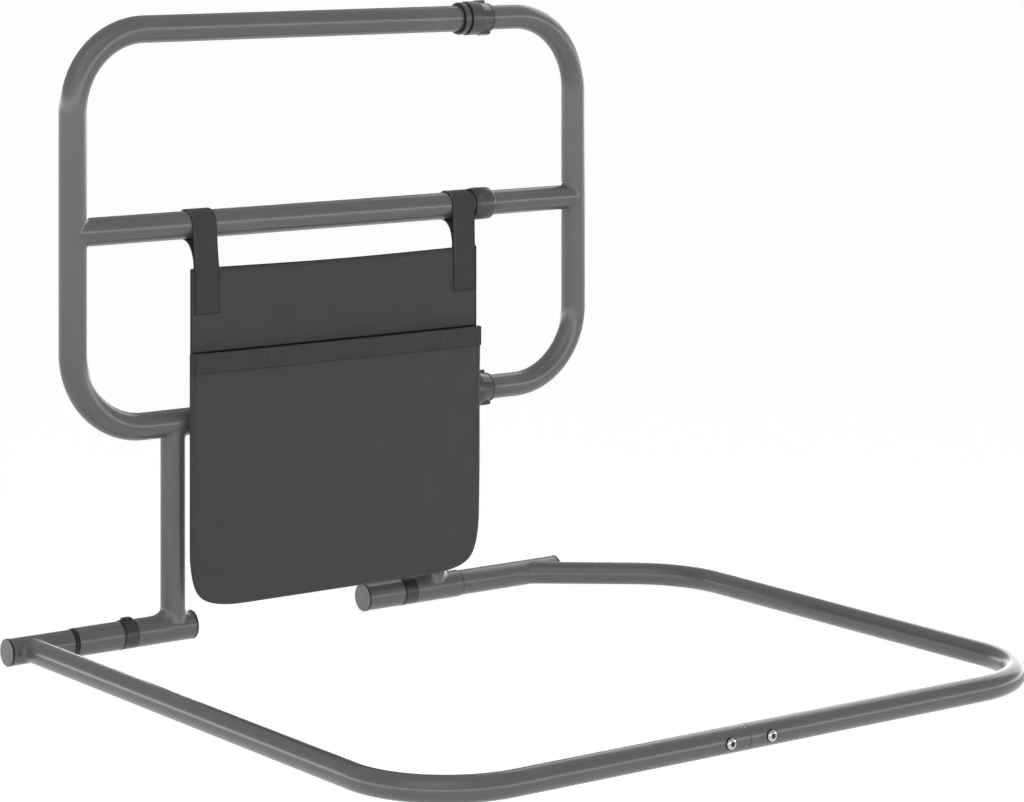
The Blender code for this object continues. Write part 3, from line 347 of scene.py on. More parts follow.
# %% Put a piece on its body
def corners_of(piece):
    """The lowest and highest corner of a piece's mesh, from the construction lines."""
    places = np.empty(len(piece.data.vertices) * 3, np.float32)
    piece.data.vertices.foreach_get("co", places)
    places = places.reshape(-1, 3) - HOME
    return places.min(0), places.max(0)


def settle(piece, body, slot, material, *nodes):
    """Gives the piece its material and body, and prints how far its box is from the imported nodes'."""
    piece.data.materials.append(material)
    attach(piece, body)
    if nodes:
        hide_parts(*nodes)
        boxes = np.array([span(node) for node in nodes])
        packed = np.array([boxes[:, 0].min(0), boxes[:, 1].max(0)])
        off = np.abs(np.array(corners_of(piece)) - packed).max()
        print(f"{piece.name}: {len(piece.data.polygons)} faces, box within {off * 1000:.1f} mm")
    return piece


# %% [markdown]
# ## Bent tubes
#
# A tube is bent on a mandrel, so its centre line is straight runs joined by true arcs. The route
# function gives points on that line and the direction at each. The tube is a circle carried along it:
# point + radius (cos a across + sin a (way x across)), where across is the normal of the bend's plane.
# Two points close together at each end of a straight run keep the run's shading straight.


# %% Routes and circles
def unit(v):
    return v / np.linalg.norm(v, axis=-1, keepdims=True)


def route(corners, bends, steps=28, strip=0.002):
    """Straight runs between the corners, with an arc of the bend's radius at each inner corner."""
    corners = np.array(corners)
    points, ways = [corners[:1]], [unit(corners[1:2] - corners[:1])]
    for k, bend in enumerate(bends, 1):
        come, go = unit(corners[k] - corners[k - 1]), unit(corners[k + 1] - corners[k])
        turn = np.arccos(come @ go)
        inward = unit(go - come * (come @ go))
        a = np.linspace(0, turn, steps + 1)[:, None]
        start = corners[k] - come * bend * np.tan(turn / 2)
        arc = start + bend * (np.sin(a) * come + (1 - np.cos(a)) * inward)
        points += [arc[:1] - come * strip, arc, arc[-1:] + go * strip]
        ways += [come[None], np.cos(a) * come + np.sin(a) * inward, go[None]]
    points.append(corners[-1:])
    ways.append(unit(corners[-1:] - corners[-2:-1]))
    return np.vstack(points), np.vstack(ways)


SIDES = 96
ANGLES = np.arange(SIDES) * 2 * np.pi / SIDES


def circles(points, ways, across, radius):
    """point + radius (cos a across + sin a (way x across)), for every point and angle at once."""
    rise = np.cross(ways, across)
    outward = np.cos(ANGLES)[:, None] * across + np.sin(ANGLES)[:, None] * rise[:, None]
    return points[:, None] + np.reshape(radius, (-1, 1, 1)) * outward


def cut_end(point, way, across, radius, begin, edge=0.0005, wall=0.0012):
    """The sawn and deburred end of a tube: up the bore, over the wall, and round the outer edge."""
    a = np.linspace(np.pi / 2, 0, 5)
    depth = np.concatenate([[0.004, 0.0], edge - edge * np.sin(a), [0.003]])
    bore = [radius - wall - 0.0002, radius - wall]
    radii = np.concatenate([bore, radius - edge + edge * np.cos(a), [radius]])
    inwards = way if begin else -way
    rings = circles(point + inwards * depth[:, None], np.tile(way, (len(depth), 1)), across, radii)
    return rings if begin else rings[::-1]


# %% [markdown]
# ## Welds
#
# Where a tube's end meets another tube's side, its mouth is coped to fit and a fillet weld runs round
# it. For each angle round the branch, its wall is followed to where it meets the main tube: that is
# the root. The toe lies on the main tube at some distance from the root, and the bead's surface rises
# from it to the branch in a hollow curve: root + along toe (1 - t)^2 + back rise t^2. A slow wave in
# the toe and in the rise shows that a hand laid it, and a faint ripple is the mark of the puddle. Real
# ripples are about 1 mm apart. There are 24 round a weld here, 3 to 4 mm apart, so that they show.

# %% What the welder's hand leaves
LEG = 0.004
EVEN = (LEG, LEG)
HAND = 1 + 0.05 * np.sin(5 * ANGLES + 1) + 0.03 * np.sin(11 * ANGLES)
RIPPLE = 0.00006 * np.sin(24 * ANGLES)[:, None]
print(f"a weld's leg is {LEG * 1000:.0f} mm, times {HAND.min():.2f} to {HAND.max():.2f}")


# %% Rings of a weld
def square_to(v, axis):
    """The part of v that is square to the axis."""
    return v - (v @ axis)[..., None] * axis


def weld(end, way, across, radius, axis, main, rise, toe, begin, steps=12):
    """Rings from inside the main tube, over the toe and up to the branch, in the route's order."""
    outward = np.cos(ANGLES)[:, None] * across + np.sin(ANGLES)[:, None] * np.cross(way, across)
    toward = -way if begin else way
    wall, aim = square_to(outward * radius, axis), square_to(toward[None], axis)[0]
    a, b, c = aim @ aim, 2 * wall @ aim, (wall**2).sum(1) - main**2
    reached = (-b - np.sqrt(np.maximum(b * b - 4 * a * c, 0))) / (2 * a)
    root = end + outward * radius + toward * reached[:, None]
    normal = unit(square_to(root - end, axis))
    along = unit(outward - 0.999999 * normal * (outward * normal).sum(1)[:, None])
    lean = outward @ axis / np.abs(outward @ axis).max()
    reach = ((toe[0] * (1 + lean) + toe[1] * (1 - lean)) / 2 * HAND)[:, None]
    t = np.linspace(0, 1, steps)[:, None, None]
    rows = root + along * reach * (1 - t) ** 2 - toward * rise * HAND[:, None] * t**2
    offset = square_to(rows - end, axis)
    distance = np.linalg.norm(offset, axis=2, keepdims=True)
    wanted = distance - (distance[:1] - main) * (1 - t) ** 2 + RIPPLE * (4 * t * (1 - t))
    rows = rows + offset * (wanted / distance - 1)
    sunk, run = end + (rows[:1] - end) * 0.93, rows[-1:] - toward * 0.003
    rings = np.concatenate([sunk, rows, run])
    return rings if begin else rings[::-1]


# %% [markdown]
# ## The handle
#
# One tube makes the left half of the handle: along the top bar, round the upright and back along the
# bottom bar. Its ends are inside the twist locks. A thinner tube, bent the same way, slides in it and
# makes the right half. The middle bar is a pair of straight tubes, one in the other, each welded to
# the upright on its own side.

# %% The handle's tubes
OUTER_R, INNER_R, BEND_R = 0.0143, 0.01335, 0.082
MIDDLE_R, SLIDER_R = 0.0147, 0.01355
END_X = span("outer_handle_tube")[1][0]
START_X = span("inner_handle_tube")[0][0]
UPRIGHT_X = span("inner_handle_tube")[1][0] - INNER_R


def handle_half(name, open_x, upright_x, radius):
    """From the open end of the top bar, round the upright, to the open end of the bottom bar."""
    corners = [at(open_x, 0, TOP_Z), at(upright_x, 0, TOP_Z)]
    corners += [at(upright_x, 0, BOTTOM_Z), at(open_x, 0, BOTTOM_Z)]
    points, ways = route(corners, [BEND_R, BEND_R])
    rings = [cut_end(points[0], ways[0], Y, radius, True)]
    rings.append(circles(points[1:-1], ways[1:-1], Y, radius))
    rings.append(cut_end(points[-1], ways[-1], Y, radius, False))
    return make_piece(name, np.concatenate(rings))


outer_half = handle_half("handle_outer_half", END_X, 0, OUTER_R)
settle(outer_half, "rail", "grey_enamel", steel_paint, "outer_handle_tube")
inner_half = handle_half("handle_inner_half", START_X, UPRIGHT_X, INNER_R)
settle(inner_half, "extension", "grey_enamel", steel_paint, "inner_handle_tube")

# %% The middle bar's tubes
left_weld = weld(at(0, 0, 0), X, Y, MIDDLE_R, Z, OUTER_R, LEG, EVEN, True)
right_cut = cut_end(at(END_X, 0, 0), X, Y, MIDDLE_R, False)
middle_outer = make_piece("middle_bar_outer", np.concatenate([left_weld, right_cut]))
settle(middle_outer, "rail", "grey_enamel", steel_paint, "middle_sleeve_tube")

left_cut = cut_end(at(START_X, 0, 0), X, Y, SLIDER_R, True)
right_weld = weld(at(UPRIGHT_X, 0, 0), X, Y, SLIDER_R, Z, INNER_R, LEG, EVEN, False)
middle_inner = make_piece("middle_bar_inner", np.concatenate([left_cut, right_weld]))
settle(middle_inner, "extension", "grey_enamel", steel_paint, "middle_inner_tube")

# %% [markdown]
# ## The posts
#
# Each post stands on a hinge tee and carries the bottom bar, so it has a weld at each end. The lower
# weld is the strongest on the product: it is taller, and it runs out along the tee towards the lock.

# %% The posts
POST_R, TEE_R, FOOT_R = 0.0128, 0.0146, 0.0136
TEE_LEG, TEE_TOES = 0.008, (0.005, 0.014)
POST_X = {"left": 0.1172, "right": 0.4450}
for side, post_x in POST_X.items():
    lower = weld(at(post_x, 0, FOOT_Z), Z, X, POST_R, X, TEE_R, TEE_LEG, TEE_TOES, True)
    upper = weld(at(post_x, 0, BOTTOM_Z), Z, X, POST_R, X, OUTER_R, LEG, EVEN, False)
    post = make_piece(f"{side}_welded_post", np.concatenate([lower, upper]))
    settle(post, "rail", "grey_enamel", steel_paint, f"{side}_post")

# %% [markdown]
# ## The frame under the mattress
#
# The left half is one tube with a single bend. The right half has the same front bend, and one more
# where its arm leans in to the hinge line, so that weld is oblique: its toe is long on the open side
# and has almost no room on the side where the foot tube ends. The halves meet at the seam in front.

# %% The frame's tubes
BASE_R, CORNER_R, FLARE_R = 0.012, 0.1, 0.12
LEFT_X, ARM_X, FLARE_X, SEAM_X, FRONT_Y = -0.0485, 0.7083, 0.5676, 0.308, -0.6835
LEAN, SEAM_GAP, FLARE_TOES = np.radians(38.6), 0.0001, (0.0005, LEG)


def frame_half(name, corners, bends, toe):
    """A route that starts with a weld on the foot tube and ends with a cut at the seam."""
    points, ways = route(corners, bends)
    rings = [weld(points[0], ways[0], Z, BASE_R, X, FOOT_R, LEG, toe, True)]
    rings.append(circles(points[1:-1], ways[1:-1], Z, BASE_R))
    rings.append(cut_end(points[-1], ways[-1], Z, BASE_R, False))
    return make_piece(name, np.concatenate(rings))


corners = [at(LEFT_X, 0, FOOT_Z), at(LEFT_X, FRONT_Y, FOOT_Z)]
corners += [at(SEAM_X - SEAM_GAP, FRONT_Y, FOOT_Z)]
left_frame = frame_half("frame_left_half", corners, [CORNER_R], EVEN)
settle(left_frame, "base", "grey_enamel", steel_paint, "base_left_tube")

knee_y = -(ARM_X - FLARE_X) * np.tan(LEAN)
corners = [at(FLARE_X, 0, FOOT_Z), at(ARM_X, knee_y, FOOT_Z), at(ARM_X, FRONT_Y, FOOT_Z)]
corners += [at(SEAM_X + SEAM_GAP, FRONT_Y, FOOT_Z)]
right_frame = frame_half("frame_right_half", corners, [FLARE_R, CORNER_R], FLARE_TOES)
settle(right_frame, "base", "grey_enamel", steel_paint, "base_right_tube")

# %% [markdown]
# ## Turned pieces
#
# Collars, rings, caps and bolt heads are all turned: an outline of (along, radius) pairs is carried
# round an axis. A moulded or deburred edge is never sharp, and it is this small round that catches the
# light, so a helper replaces each corner of the outline by an arc. A strip beside each arc keeps the
# flat faces flat in the shading.


# %% Outlines and turning
def softened(outline, rounds, steps=4):
    """Each corner becomes an arc: its end points lie round * tan(turn / 2) from the corner."""
    outline = np.array(outline, float)
    rounds = np.broadcast_to(rounds, len(outline))
    made = []
    for k, corner in enumerate(outline):
        come, go = unit(corner - outline[k - 1]), unit(outline[(k + 1) % len(outline)] - corner)
        turn = np.arccos(np.clip(come @ go, -1, 1))
        if rounds[k] == 0 or turn < 0.01:
            made.append(corner[None])
            continue
        inward = unit(go - come * (come @ go))
        a = np.linspace(0, turn, steps + 1)[:, None]
        arc = corner - come * rounds[k] * np.tan(turn / 2)
        arc = arc + rounds[k] * (np.sin(a) * come + (1 - np.cos(a)) * inward)
        strip = 0.25 * rounds[k]
        made.append(np.vstack([arc[:1] - come * strip, arc, arc[-1:] + go * strip]))
    return np.vstack(made)


def turned(outline, start, axis=X, sides=SIDES):
    """start + along * axis + radius * (cos a, sin a) square to the axis."""
    outline = np.array(outline)
    across = Z if abs(axis[2]) < 0.5 else X
    a = np.arange(sides) * 2 * np.pi / sides
    round_it = np.cos(a)[:, None] * across + np.sin(a)[:, None] * np.cross(axis, across)
    return start + outline[:, :1, None] * axis + outline[:, 1:, None] * round_it


def ring_between(name, low_x, high_x, radius, wall, z, edge=0.0004):
    """A plain length of tube between two places on a bar."""
    length = high_x - low_x
    corners = [(0, radius - wall), (0, radius), (length, radius), (length, radius - wall)]
    return make_piece(name, turned(softened(corners, edge), at(low_x, 0, z)), along=True)


# %% [markdown]
# ## The hinge line
#
# From left to right: the foot tube that the left arm is welded to, a black spacer ring, the fixed
# sleeve, the lock collar with its button, and the tee that turns. On the right the order is sleeve,
# collar, tee and foot tube. Each is a plain turned length. A thin black ring at the left end of each
# collar, and another between the right tee and its foot tube, is painted shade: it draws the dark
# gap line that tells the eye that the lengths are separate.

# %% Tubes of the hinge line
LINE_WALL, GAP_SHADE_WALL, SPACER_R, SPACER_WALL = 0.0015, 0.002, 0.0140, 0.004
plain_lengths = [("foot", "foot_tube", "base", FOOT_R), ("fixed_sleeve", "lock_sleeve", "base", TEE_R)]
plain_lengths += [("tee", "hinge_tee", "rail", TEE_R)]
for side in ("left", "right"):
    for label, node, body, radius in plain_lengths:
        low, high = span(f"{side}_{node}")
        tube = ring_between(f"{side}_{label}", low[0], high[0], radius, LINE_WALL, FOOT_Z)
        settle(tube, body, "grey_enamel", steel_paint, f"{side}_{node}")
low, high = span("left_spacer_ring")
spacer = ring_between("spacer_ring", low[0], high[0], SPACER_R, SPACER_WALL, FOOT_Z, 0.0008)
settle(spacer, "base", "black_plastic", black_plastic, "left_spacer_ring")
left_joint, right_joint = (span(f"{side}_lock_collar")[0][0] for side in ("left", "right"))
foot_joint = span("right_hinge_tee")[1][0]
# Thin black rings that are painted shade, for the dark gaps at the collars and at the right foot tube.
gap_shade_rings = [("left", left_joint - 0.0022, left_joint + 0.0003, TEE_R + 0.0002)]
gap_shade_rings += [("right", right_joint - 0.0022, right_joint + 0.0003, TEE_R + 0.0002)]
gap_shade_rings += [("foot", foot_joint + 0.0002, foot_joint + 0.0015, FOOT_R + 0.0003)]
for label, low_x, high_x, radius in gap_shade_rings:
    gap_shade = ring_between(f"{label}_wiper", low_x, high_x, radius, GAP_SHADE_WALL, FOOT_Z, 0.0002)
    settle(gap_shade, "base", "black_plastic", black_plastic)

# %% [markdown]
# ## End caps
#
# A cap is a thin disc with a plug behind it. From outside it is a slightly domed face with a rounded
# rim, and a black lip 1.8 mm long seals it against the tube's end. The lip is partly the cap's black
# rim and partly painted shade: its black draws the dark line of the groove round the cap.


# %% The caps
RIM, LIP_END, LIP_PROUD = 0.0008, 0.0026, 0.0002


def end_cap(name, node, body, radius, outward):
    """Face, rim, groove and plug. outward is -X or X, the way the face looks."""
    low, high = span(node)
    face_x = low[0] if outward[0] < 0 else high[0]
    part = np.linspace(0.05, 0.85, 7)
    dome = np.stack([0.0005 * part**2, radius * part], -1)
    rim = [(0.0003, radius), (RIM, radius), (RIM, radius - 0.0016), (high[0] - low[0], radius - 0.0017)]
    outline = softened([*dome, *rim], [0] * len(dome) + [0.0003, 0.0001, 0, 0])
    piece = make_piece(name, turned(outline, at(face_x, 0, FOOT_Z), -outward))
    # The black lip: partly the cap's own black rim, partly painted shade in the groove round the cap.
    lip = np.sort(face_x - outward[0] * np.array([RIM, LIP_END]))
    gasket = ring_between(f"{name}_lip", lip[0], lip[1], radius + LIP_PROUD, 0.0014, FOOT_Z, 0.0001)
    settle(gasket, body, "black_plastic", black_plastic)
    return settle(piece, body, "moulded_cap", cap_plastic, node)


end_cap("foot_cap_left", "left_foot_cap", "base", FOOT_R, -X)
end_cap("foot_cap_right", "right_foot_cap", "base", FOOT_R, X)
end_cap("sleeve_cap", "right_sleeve_cap", "base", TEE_R, -X)
end_cap("tee_cap", "left_tee_cap", "rail", TEE_R, X)

# %% [markdown]
# ## The pin in the left foot
#
# A small pin goes through the foot tube near its end and keeps the pivot shaft from turning. Only its
# end shows, a slightly dished disc in the grey of the lock parts.

# %% The pin
PIN_R, PIN_INSET, PIN_DEPTH, PIN_DROP = 0.0020, 0.0065, 0.0120, 0.0005
spot = at(span("left_foot_tube")[0][0] + PIN_INSET, -PIN_DEPTH, FOOT_Z - PIN_DROP)
outline = softened([(0, PIN_R), (0.0019, PIN_R), (0.0016, 0.0004)], [0, 0.0002, 0])
pin = make_piece("spring_pin", turned(outline, spot, -Y, 24))
settle(pin, "base", "grey_nylon", grey_nylon)

# %% [markdown]
# ## Lock collars and their buttons
#
# Each lock collar is a moulded ring beside a tee. Its top is raised a little round the button, in the
# shape of a rounded rectangle: 1 inside |x / a|^4 + |s / b|^4 = 1, falling smoothly to 0 outside it,
# where s is the way round the collar. The button is a pad of the same family of shapes, with a black
# seal where it comes out of the collar. It is hollow underneath, with room for its spring when it is
# pressed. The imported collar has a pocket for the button. The collar here is a plain ring, and the
# button's skirt goes through its wall: that isn't as on the real one, and it is out of sight.


# %% Collar and button shapes
COLLAR_SIDES, BOSS_RISE, BOSS_HALF_X, BOSS_HALF_S = 160, 0.0007, 0.0074, 0.0085


def smooth(t):
    """0 below 0, 1 above 1, and 3 t^2 - 2 t^3 between."""
    t = np.clip(t, 0, 1)
    return t * t * (3 - 2 * t)


def collar_grid(start, length, middle):
    """A ring whose outer rows rise by 0.7 mm round the button."""
    rim, wall = 0.0012, 0.002
    rows = np.linspace(rim, length - rim, 26)
    outside = np.stack([rows, np.full(len(rows), TEE_R)], -1)
    begin = softened([(0, TEE_R - wall), (0, TEE_R), (rim, TEE_R)], [0, 0.0005, 0])[:-1]
    outline = np.vstack([begin, outside, begin[::-1] * [-1, 1] + [length, 0]])
    grid = turned(outline, start, sides=COLLAR_SIDES)
    a = np.arange(COLLAR_SIDES) * 2 * np.pi / COLLAR_SIDES
    s = TEE_R * np.where(a > np.pi, a - 2 * np.pi, a)
    along = start[0] + outline[:, :1] - middle
    shape = (along / BOSS_HALF_X) ** 4 + (s / BOSS_HALF_S) ** 4
    raised = BOSS_RISE * smooth((1.35 - shape**0.25) / 0.45) * (outline[:, 1:] > TEE_R - 0.0001)
    outward = unit(square_to(grid - start, X))
    return grid + outward * raised[..., None]


def pad_grid(centre, half_x, half_y, levels, sides=64):
    """Rings of a rounded rectangle, |x / a|^4 + |y / b|^4 = s^4, at (height, s) levels."""
    a = np.arange(sides) * 2 * np.pi / sides
    c, s = np.cos(a), np.sin(a)
    plan = np.stack([half_x * np.sign(c) * np.abs(c) ** 0.5, half_y * np.sign(s) * np.abs(s) ** 0.5], -1)
    levels = np.array(levels)
    flat = plan[None] * levels[:, 1][:, None, None]
    height = np.broadcast_to(levels[:, 0][:, None, None], (*flat.shape[:2], 1))
    return centre + np.concatenate([flat, height], -1)


# %% The collars and buttons
PAD_HALF, SEAL_HALF, PAD_EDGE, SKIRT = (0.0055, 0.0045), (0.0060, 0.0050), 0.0009, -0.0032
seal_levels = [(-0.001, 0.5), (-0.001, 1), (0.0007, 1), (0.0009, 0.97), (0.0009, 0.5)]
hollow = [(0.0008, 0.3), (0.0008, 0.56), (SKIRT, 0.58), (SKIRT, 1), (0.0009, 1)]
for side in ("left", "right"):
    low, high = span(f"{side}_lock_collar")
    low_b, high_b = span(f"{side}_release_button")
    middle = at((low_b[0] + high_b[0]) / 2, 0, FOOT_Z + TEE_R)
    grid = collar_grid(at(low[0], 0, FOOT_Z), high[0] - low[0], middle[0])
    collar = make_piece(f"{side}_collar", grid, along=True)
    settle(collar, "rail", "grey_nylon", dark_nylon, f"{side}_lock_collar")
    seal = make_piece(f"{side}_button_seal", pad_grid(middle, *SEAL_HALF, seal_levels))
    settle(seal, "rail", "black_plastic", black_plastic)
    proud = high_b[2] - FOOT_Z - TEE_R
    a = np.linspace(0, np.pi / 2, 6)
    rim = np.stack([proud - PAD_EDGE + PAD_EDGE * np.sin(a), 0.84 + 0.16 * np.cos(a)], -1)
    dish = [(proud - 0.0001, 0.7), (proud - 0.0003, 0.45), (proud - 0.0004, 0.2), (proud - 0.0004, 0.04)]
    button = make_piece(f"{side}_button", pad_grid(middle, *PAD_HALF, [*hollow, *rim, *dish]))
    settle(button, f"{side}_button", "black_plastic", black_plastic, f"{side}_release_button")

# %% [markdown]
# ## Twist locks
#
# A twist lock is a threaded base that is glued on the end of the outer tube, a slit collet in it, and
# a nut with four ribs that squeezes the collet on the inner tube. From the left the eye meets a thin
# black washer, the base's flange, the groove, and the nut. A black ring in the groove is painted
# shade, for the dark of the deep groove. The flange and the nut's front edge stand 1.2 mm further
# forward than in the imported model, as on the real one.

# %% Washers, bases and the grooves' painted shade
FRONT, LOCK_SEAT_R, NECK_R, FLANGE_R, FLANGE_END = 0.0012, 0.0146, 0.0161, 0.0177, 0.0054
WASHER_R, SEAL_R, SEAL_START, SEAL_END = 0.0172, 0.0168, 0.0056, 0.0079
for level, z in (("top", TOP_Z), ("bottom", BOTTOM_Z)):
    low, high = span(f"{level}_lock_washer")
    washer = ring_between(f"{level}_washer", low[0], high[0] - FRONT, WASHER_R, 0.0026, z)
    settle(washer, "rail", "black_plastic", black_plastic, f"{level}_lock_washer")
    low, high = span(f"{level}_lock_base")
    length = high[0] - low[0]
    outline = [(-FRONT, LOCK_SEAT_R), (-FRONT, FLANGE_R), (FLANGE_END, FLANGE_R), (FLANGE_END, NECK_R)]
    outline += [(length, NECK_R), (length, LOCK_SEAT_R)]
    outline = softened(outline, [0.0003, 0.0008, 0.0008, 0, 0.0003, 0.0003])
    base = make_piece(f"{level}_base", turned(outline, at(low[0], 0, z)), along=True)
    settle(base, "rail", "grey_nylon", grey_nylon, f"{level}_lock_base")
    # A black ring in the groove: painted shade.
    ends = low[0] + SEAL_START, low[0] + SEAL_END
    seal = ring_between(f"{level}_seal", *ends, SEAL_R, 0.0006, z, 0.0003)
    settle(seal, "rail", "black_plastic", black_plastic)

# %% [markdown]
# ### The ribbed nut
#
# The nut's radius is a function of two numbers: how far along it, and how far round it. Along it the
# body is straight for 14.5 mm and then tapers. Round it there are four ribs with flat tops, and a flat
# top at distance h from the axis is h / cos a. A mask that is 1 on a rib and 0 beside it blends one
# radius into the other, over half a millimetre, as the tool's own rounded edges do. Between the ribs
# the surface is 0.9 mm hollow, up to the rim at the end.

# %% The nut's sizes
NUT_R, NUT_SMALL_R, NUT_BORE_R, NUT_STRAIGHT, HOLLOW = 0.0186, 0.01555, 0.01395, 0.0145, 0.0009
RIB_R, RIB_START, RIB_END, RIB_SOFT = 0.0192, 0.0137, 0.0283, 0.0007
FIRST_RIB, RIB_HALF = 18, np.radians(11.7)
print(f"the ribs are {(RIB_END - RIB_START) * 1000:.1f} mm long and {(RIB_R - NUT_R) * 1000:.1f} mm proud")


# %% The ribbed nuts
def nut_outline(length, edge=0.0008):
    """(along, radius) from the front edge over the straight body and the taper into the bore."""
    runs = [(edge, 0.0134, 15), (0.0136, 0.0148, 9), (0.0152, 0.0272, 26), (0.0275, 0.0285, 8)]
    rows = np.concatenate([np.linspace(*run) for run in [*runs, (0.0289, length - edge, 5)]])
    taper = np.clip((rows - NUT_STRAIGHT) / (length - NUT_STRAIGHT), 0, 1)
    body = NUT_R - (NUT_R - NUT_SMALL_R) * taper
    a = np.linspace(np.pi / 2, 0, 5)
    front = np.stack([edge - edge * np.sin(a), NUT_R - edge + edge * np.cos(a)], -1)[:-1]
    a = np.linspace(0, np.pi / 2, 5)[1:]
    back = np.stack([length - edge + edge * np.sin(a), body[-1] - edge + edge * np.cos(a)], -1)
    bore = [[length, NUT_BORE_R + 0.0003], [length - 0.0003, NUT_BORE_R], [length - 0.004, NUT_BORE_R]]
    return np.vstack([[[0.001, NUT_R - 0.0013]], front, np.stack([rows, body], -1), back, bore])


def nut_grid(start, length):
    """Rows along the nut and columns round it, with more of both where the ribs end."""
    outline = nut_outline(length)
    quarter = np.radians(np.concatenate([np.linspace(-45, -14, 14)[:-1], np.linspace(-14, -8.6, 14)]))
    quarter = np.concatenate([quarter, np.linspace(quarter[-1], 0, 7)[1:]])
    quarter = np.concatenate([quarter, -quarter[::-1][1:-1]])
    turns = np.radians(FIRST_RIB + 90 * np.arange(4))[:, None]
    angle, local = (turns + quarter).ravel(), np.tile(quarter, 4)
    along, outside = outline[:, 0], outline[:, 1:] > NUT_BORE_R + 0.0008
    mask = smooth((RIB_HALF - np.abs(local)) / np.radians(1.9))
    ribbed = smooth((along - RIB_START) / RIB_SOFT) * smooth((RIB_END - along) / RIB_SOFT)
    mask = mask * ribbed[:, None] * outside
    hollow = smooth((along - 0.0139) / 0.0008) * smooth((length - 0.0016 - along) / 0.0008)
    floor = outline[:, 1:] - HOLLOW * hollow[:, None] * outside
    r = floor + (RIB_R / np.cos(local) - floor) * mask
    outward = np.cos(angle)[:, None] * -Y + np.sin(angle)[:, None] * Z
    return start + outline[:, :1, None] * X + r[..., None] * outward


for level, z in (("top", TOP_Z), ("bottom", BOTTOM_Z)):
    low, high = span(f"{level}_twist_nut")
    grid = nut_grid(at(low[0], 0, z), high[0] - low[0])
    grid[:, :, 0] -= FRONT * (grid[:, :, 0] < HOME[0] + low[0] + 0.002)
    nut = make_piece(f"{level}_nut", grid)
    settle(nut, f"{level}_nut", "grey_nylon", grey_nylon, f"{level}_twist_nut")

# %% [markdown]
# ### The guide collar
#
# The middle bar needs no lock, so it has a plain guide with a round end and a black ring behind it.

# %% The guide collar and its ring
low, high = span("middle_guide_collar")
length, outer, bore, nose, lip = high[0] - low[0], 0.0176, 0.0142, 0.004, 0.0008
a = np.linspace(0, np.pi / 2, 10)[:, None]
end = np.hstack([length - nose + nose * np.sin(a), bore + lip + (outer - bore - lip) * np.cos(a)])
begin = softened([(0.0005, outer - 0.0026), (0, outer - 0.0022), (0, outer)], [0, 0, 0.0006])
body, inside = [[0.004, outer], [length - 0.006, outer]], [[length, bore], [length - 0.004, bore]]
outline = np.vstack([begin, body, end, inside])
guide = make_piece("guide_collar", turned(outline, at(low[0], 0, 0)))
settle(guide, "rail", "grey_nylon", grey_nylon, "middle_guide_collar")
low, high = span("middle_guide_ring")
guide_ring = ring_between("guide_ring", low[0], high[0], 0.0168, 0.0018, 0, 0.0005)
settle(guide_ring, "rail", "black_plastic", black_plastic, "middle_guide_ring")

# %% [markdown]
# ## Bolts at the seam
#
# Two button-head bolts hold the frame's halves on an inner sleeve. A head is a dome that was pressed
# from wire, with a hexagon socket. The socket's wall is a hexagon in polar form, half its width across
# flats divided by cos(a) within each sixth of the turn. A black ring under each head is painted shadow
# round the head, and a black plug in each socket is painted shade on the socket's floor.

# %% The bolts
HEAD_R, HEAD_H, SOCKET, BOLT_OFFSET = 0.00525, 0.0030, 0.0022, 0.024
RING_R, RING_H, SHANK_R, SOCKET_FLOOR = 0.0058, 0.0012, 0.003, 0.0018
sixth = np.pi / 3
hexagon = SOCKET / np.cos((ANGLES + sixth / 2) % sixth - sixth / 2)
slope = np.radians(np.array([2, 8, 16, 26, 36, 46, 56, 64]))
dome = RING_H + (HEAD_H - RING_H) * np.sin(slope) / np.sin(slope[-1])
rows = np.array([RING_H, *dome, HEAD_H, HEAD_H - 0.00015, HEAD_H - SOCKET_FLOOR])[:, None, None]
radii = np.outer([SHANK_R, *(HEAD_R * np.cos(slope))], np.ones(SIDES))
radii = np.vstack([radii, hexagon * 1.06, hexagon, hexagon * 0.99])
plug_rows = np.array([HEAD_H - 0.0017, HEAD_H - 0.0006])[:, None, None]
under = [(-0.001, SHANK_R), (-0.001, RING_R), (RING_H, RING_R), (RING_H, SHANK_R)]
under = softened(under, [0, 0, 0.0003, 0])
around = np.cos(ANGLES)[:, None] * X + np.sin(ANGLES)[:, None] * Z
for side, bolt_x in (("left", SEAM_X - BOLT_OFFSET), ("right", SEAM_X + BOLT_OFFSET)):
    seat = at(bolt_x, span(f"{side}_base_bolt")[0][1] + HEAD_H, FOOT_Z)
    bolt = make_piece(f"{side}_bolt", seat - rows * Y + radii[..., None] * around)
    settle(bolt, "base", "zinc_plate", zinc, f"{side}_base_bolt")
    # A black ring under the head: painted shadow round it.
    ring = make_piece(f"{side}_bolt_ring", turned(under, seat, -Y, 48), along=True)
    settle(ring, "base", "black_plastic", black_plastic)
    # A black plug in the socket: painted shade on its floor.
    plug = make_piece(f"{side}_bolt_socket", seat - plug_rows * Y + 0.98 * hexagon[:, None] * around)
    settle(plug, "base", "black_plastic", black_plastic)

# %% [markdown]
# ## Cloth as a closed shell
#
# A sheet of cloth is a grid of points too, but it needs a thickness and an edge. Each point gets an
# outward direction, the cross product of the steps down and across the grid. The outer side lies one
# thickness along it, and a band joins the two sides, bowed out a little as a folded edge is. The UV
# map holds the distance across and down the cloth in metres, measured along the grid, so that the
# weave is even where the cloth bends.


# %% Make a cloth shell
def outward_of(grid):
    """The unit cross product of the grid's steps down and across."""
    return unit(np.cross(np.gradient(grid, axis=0), np.gradient(grid, axis=1)))


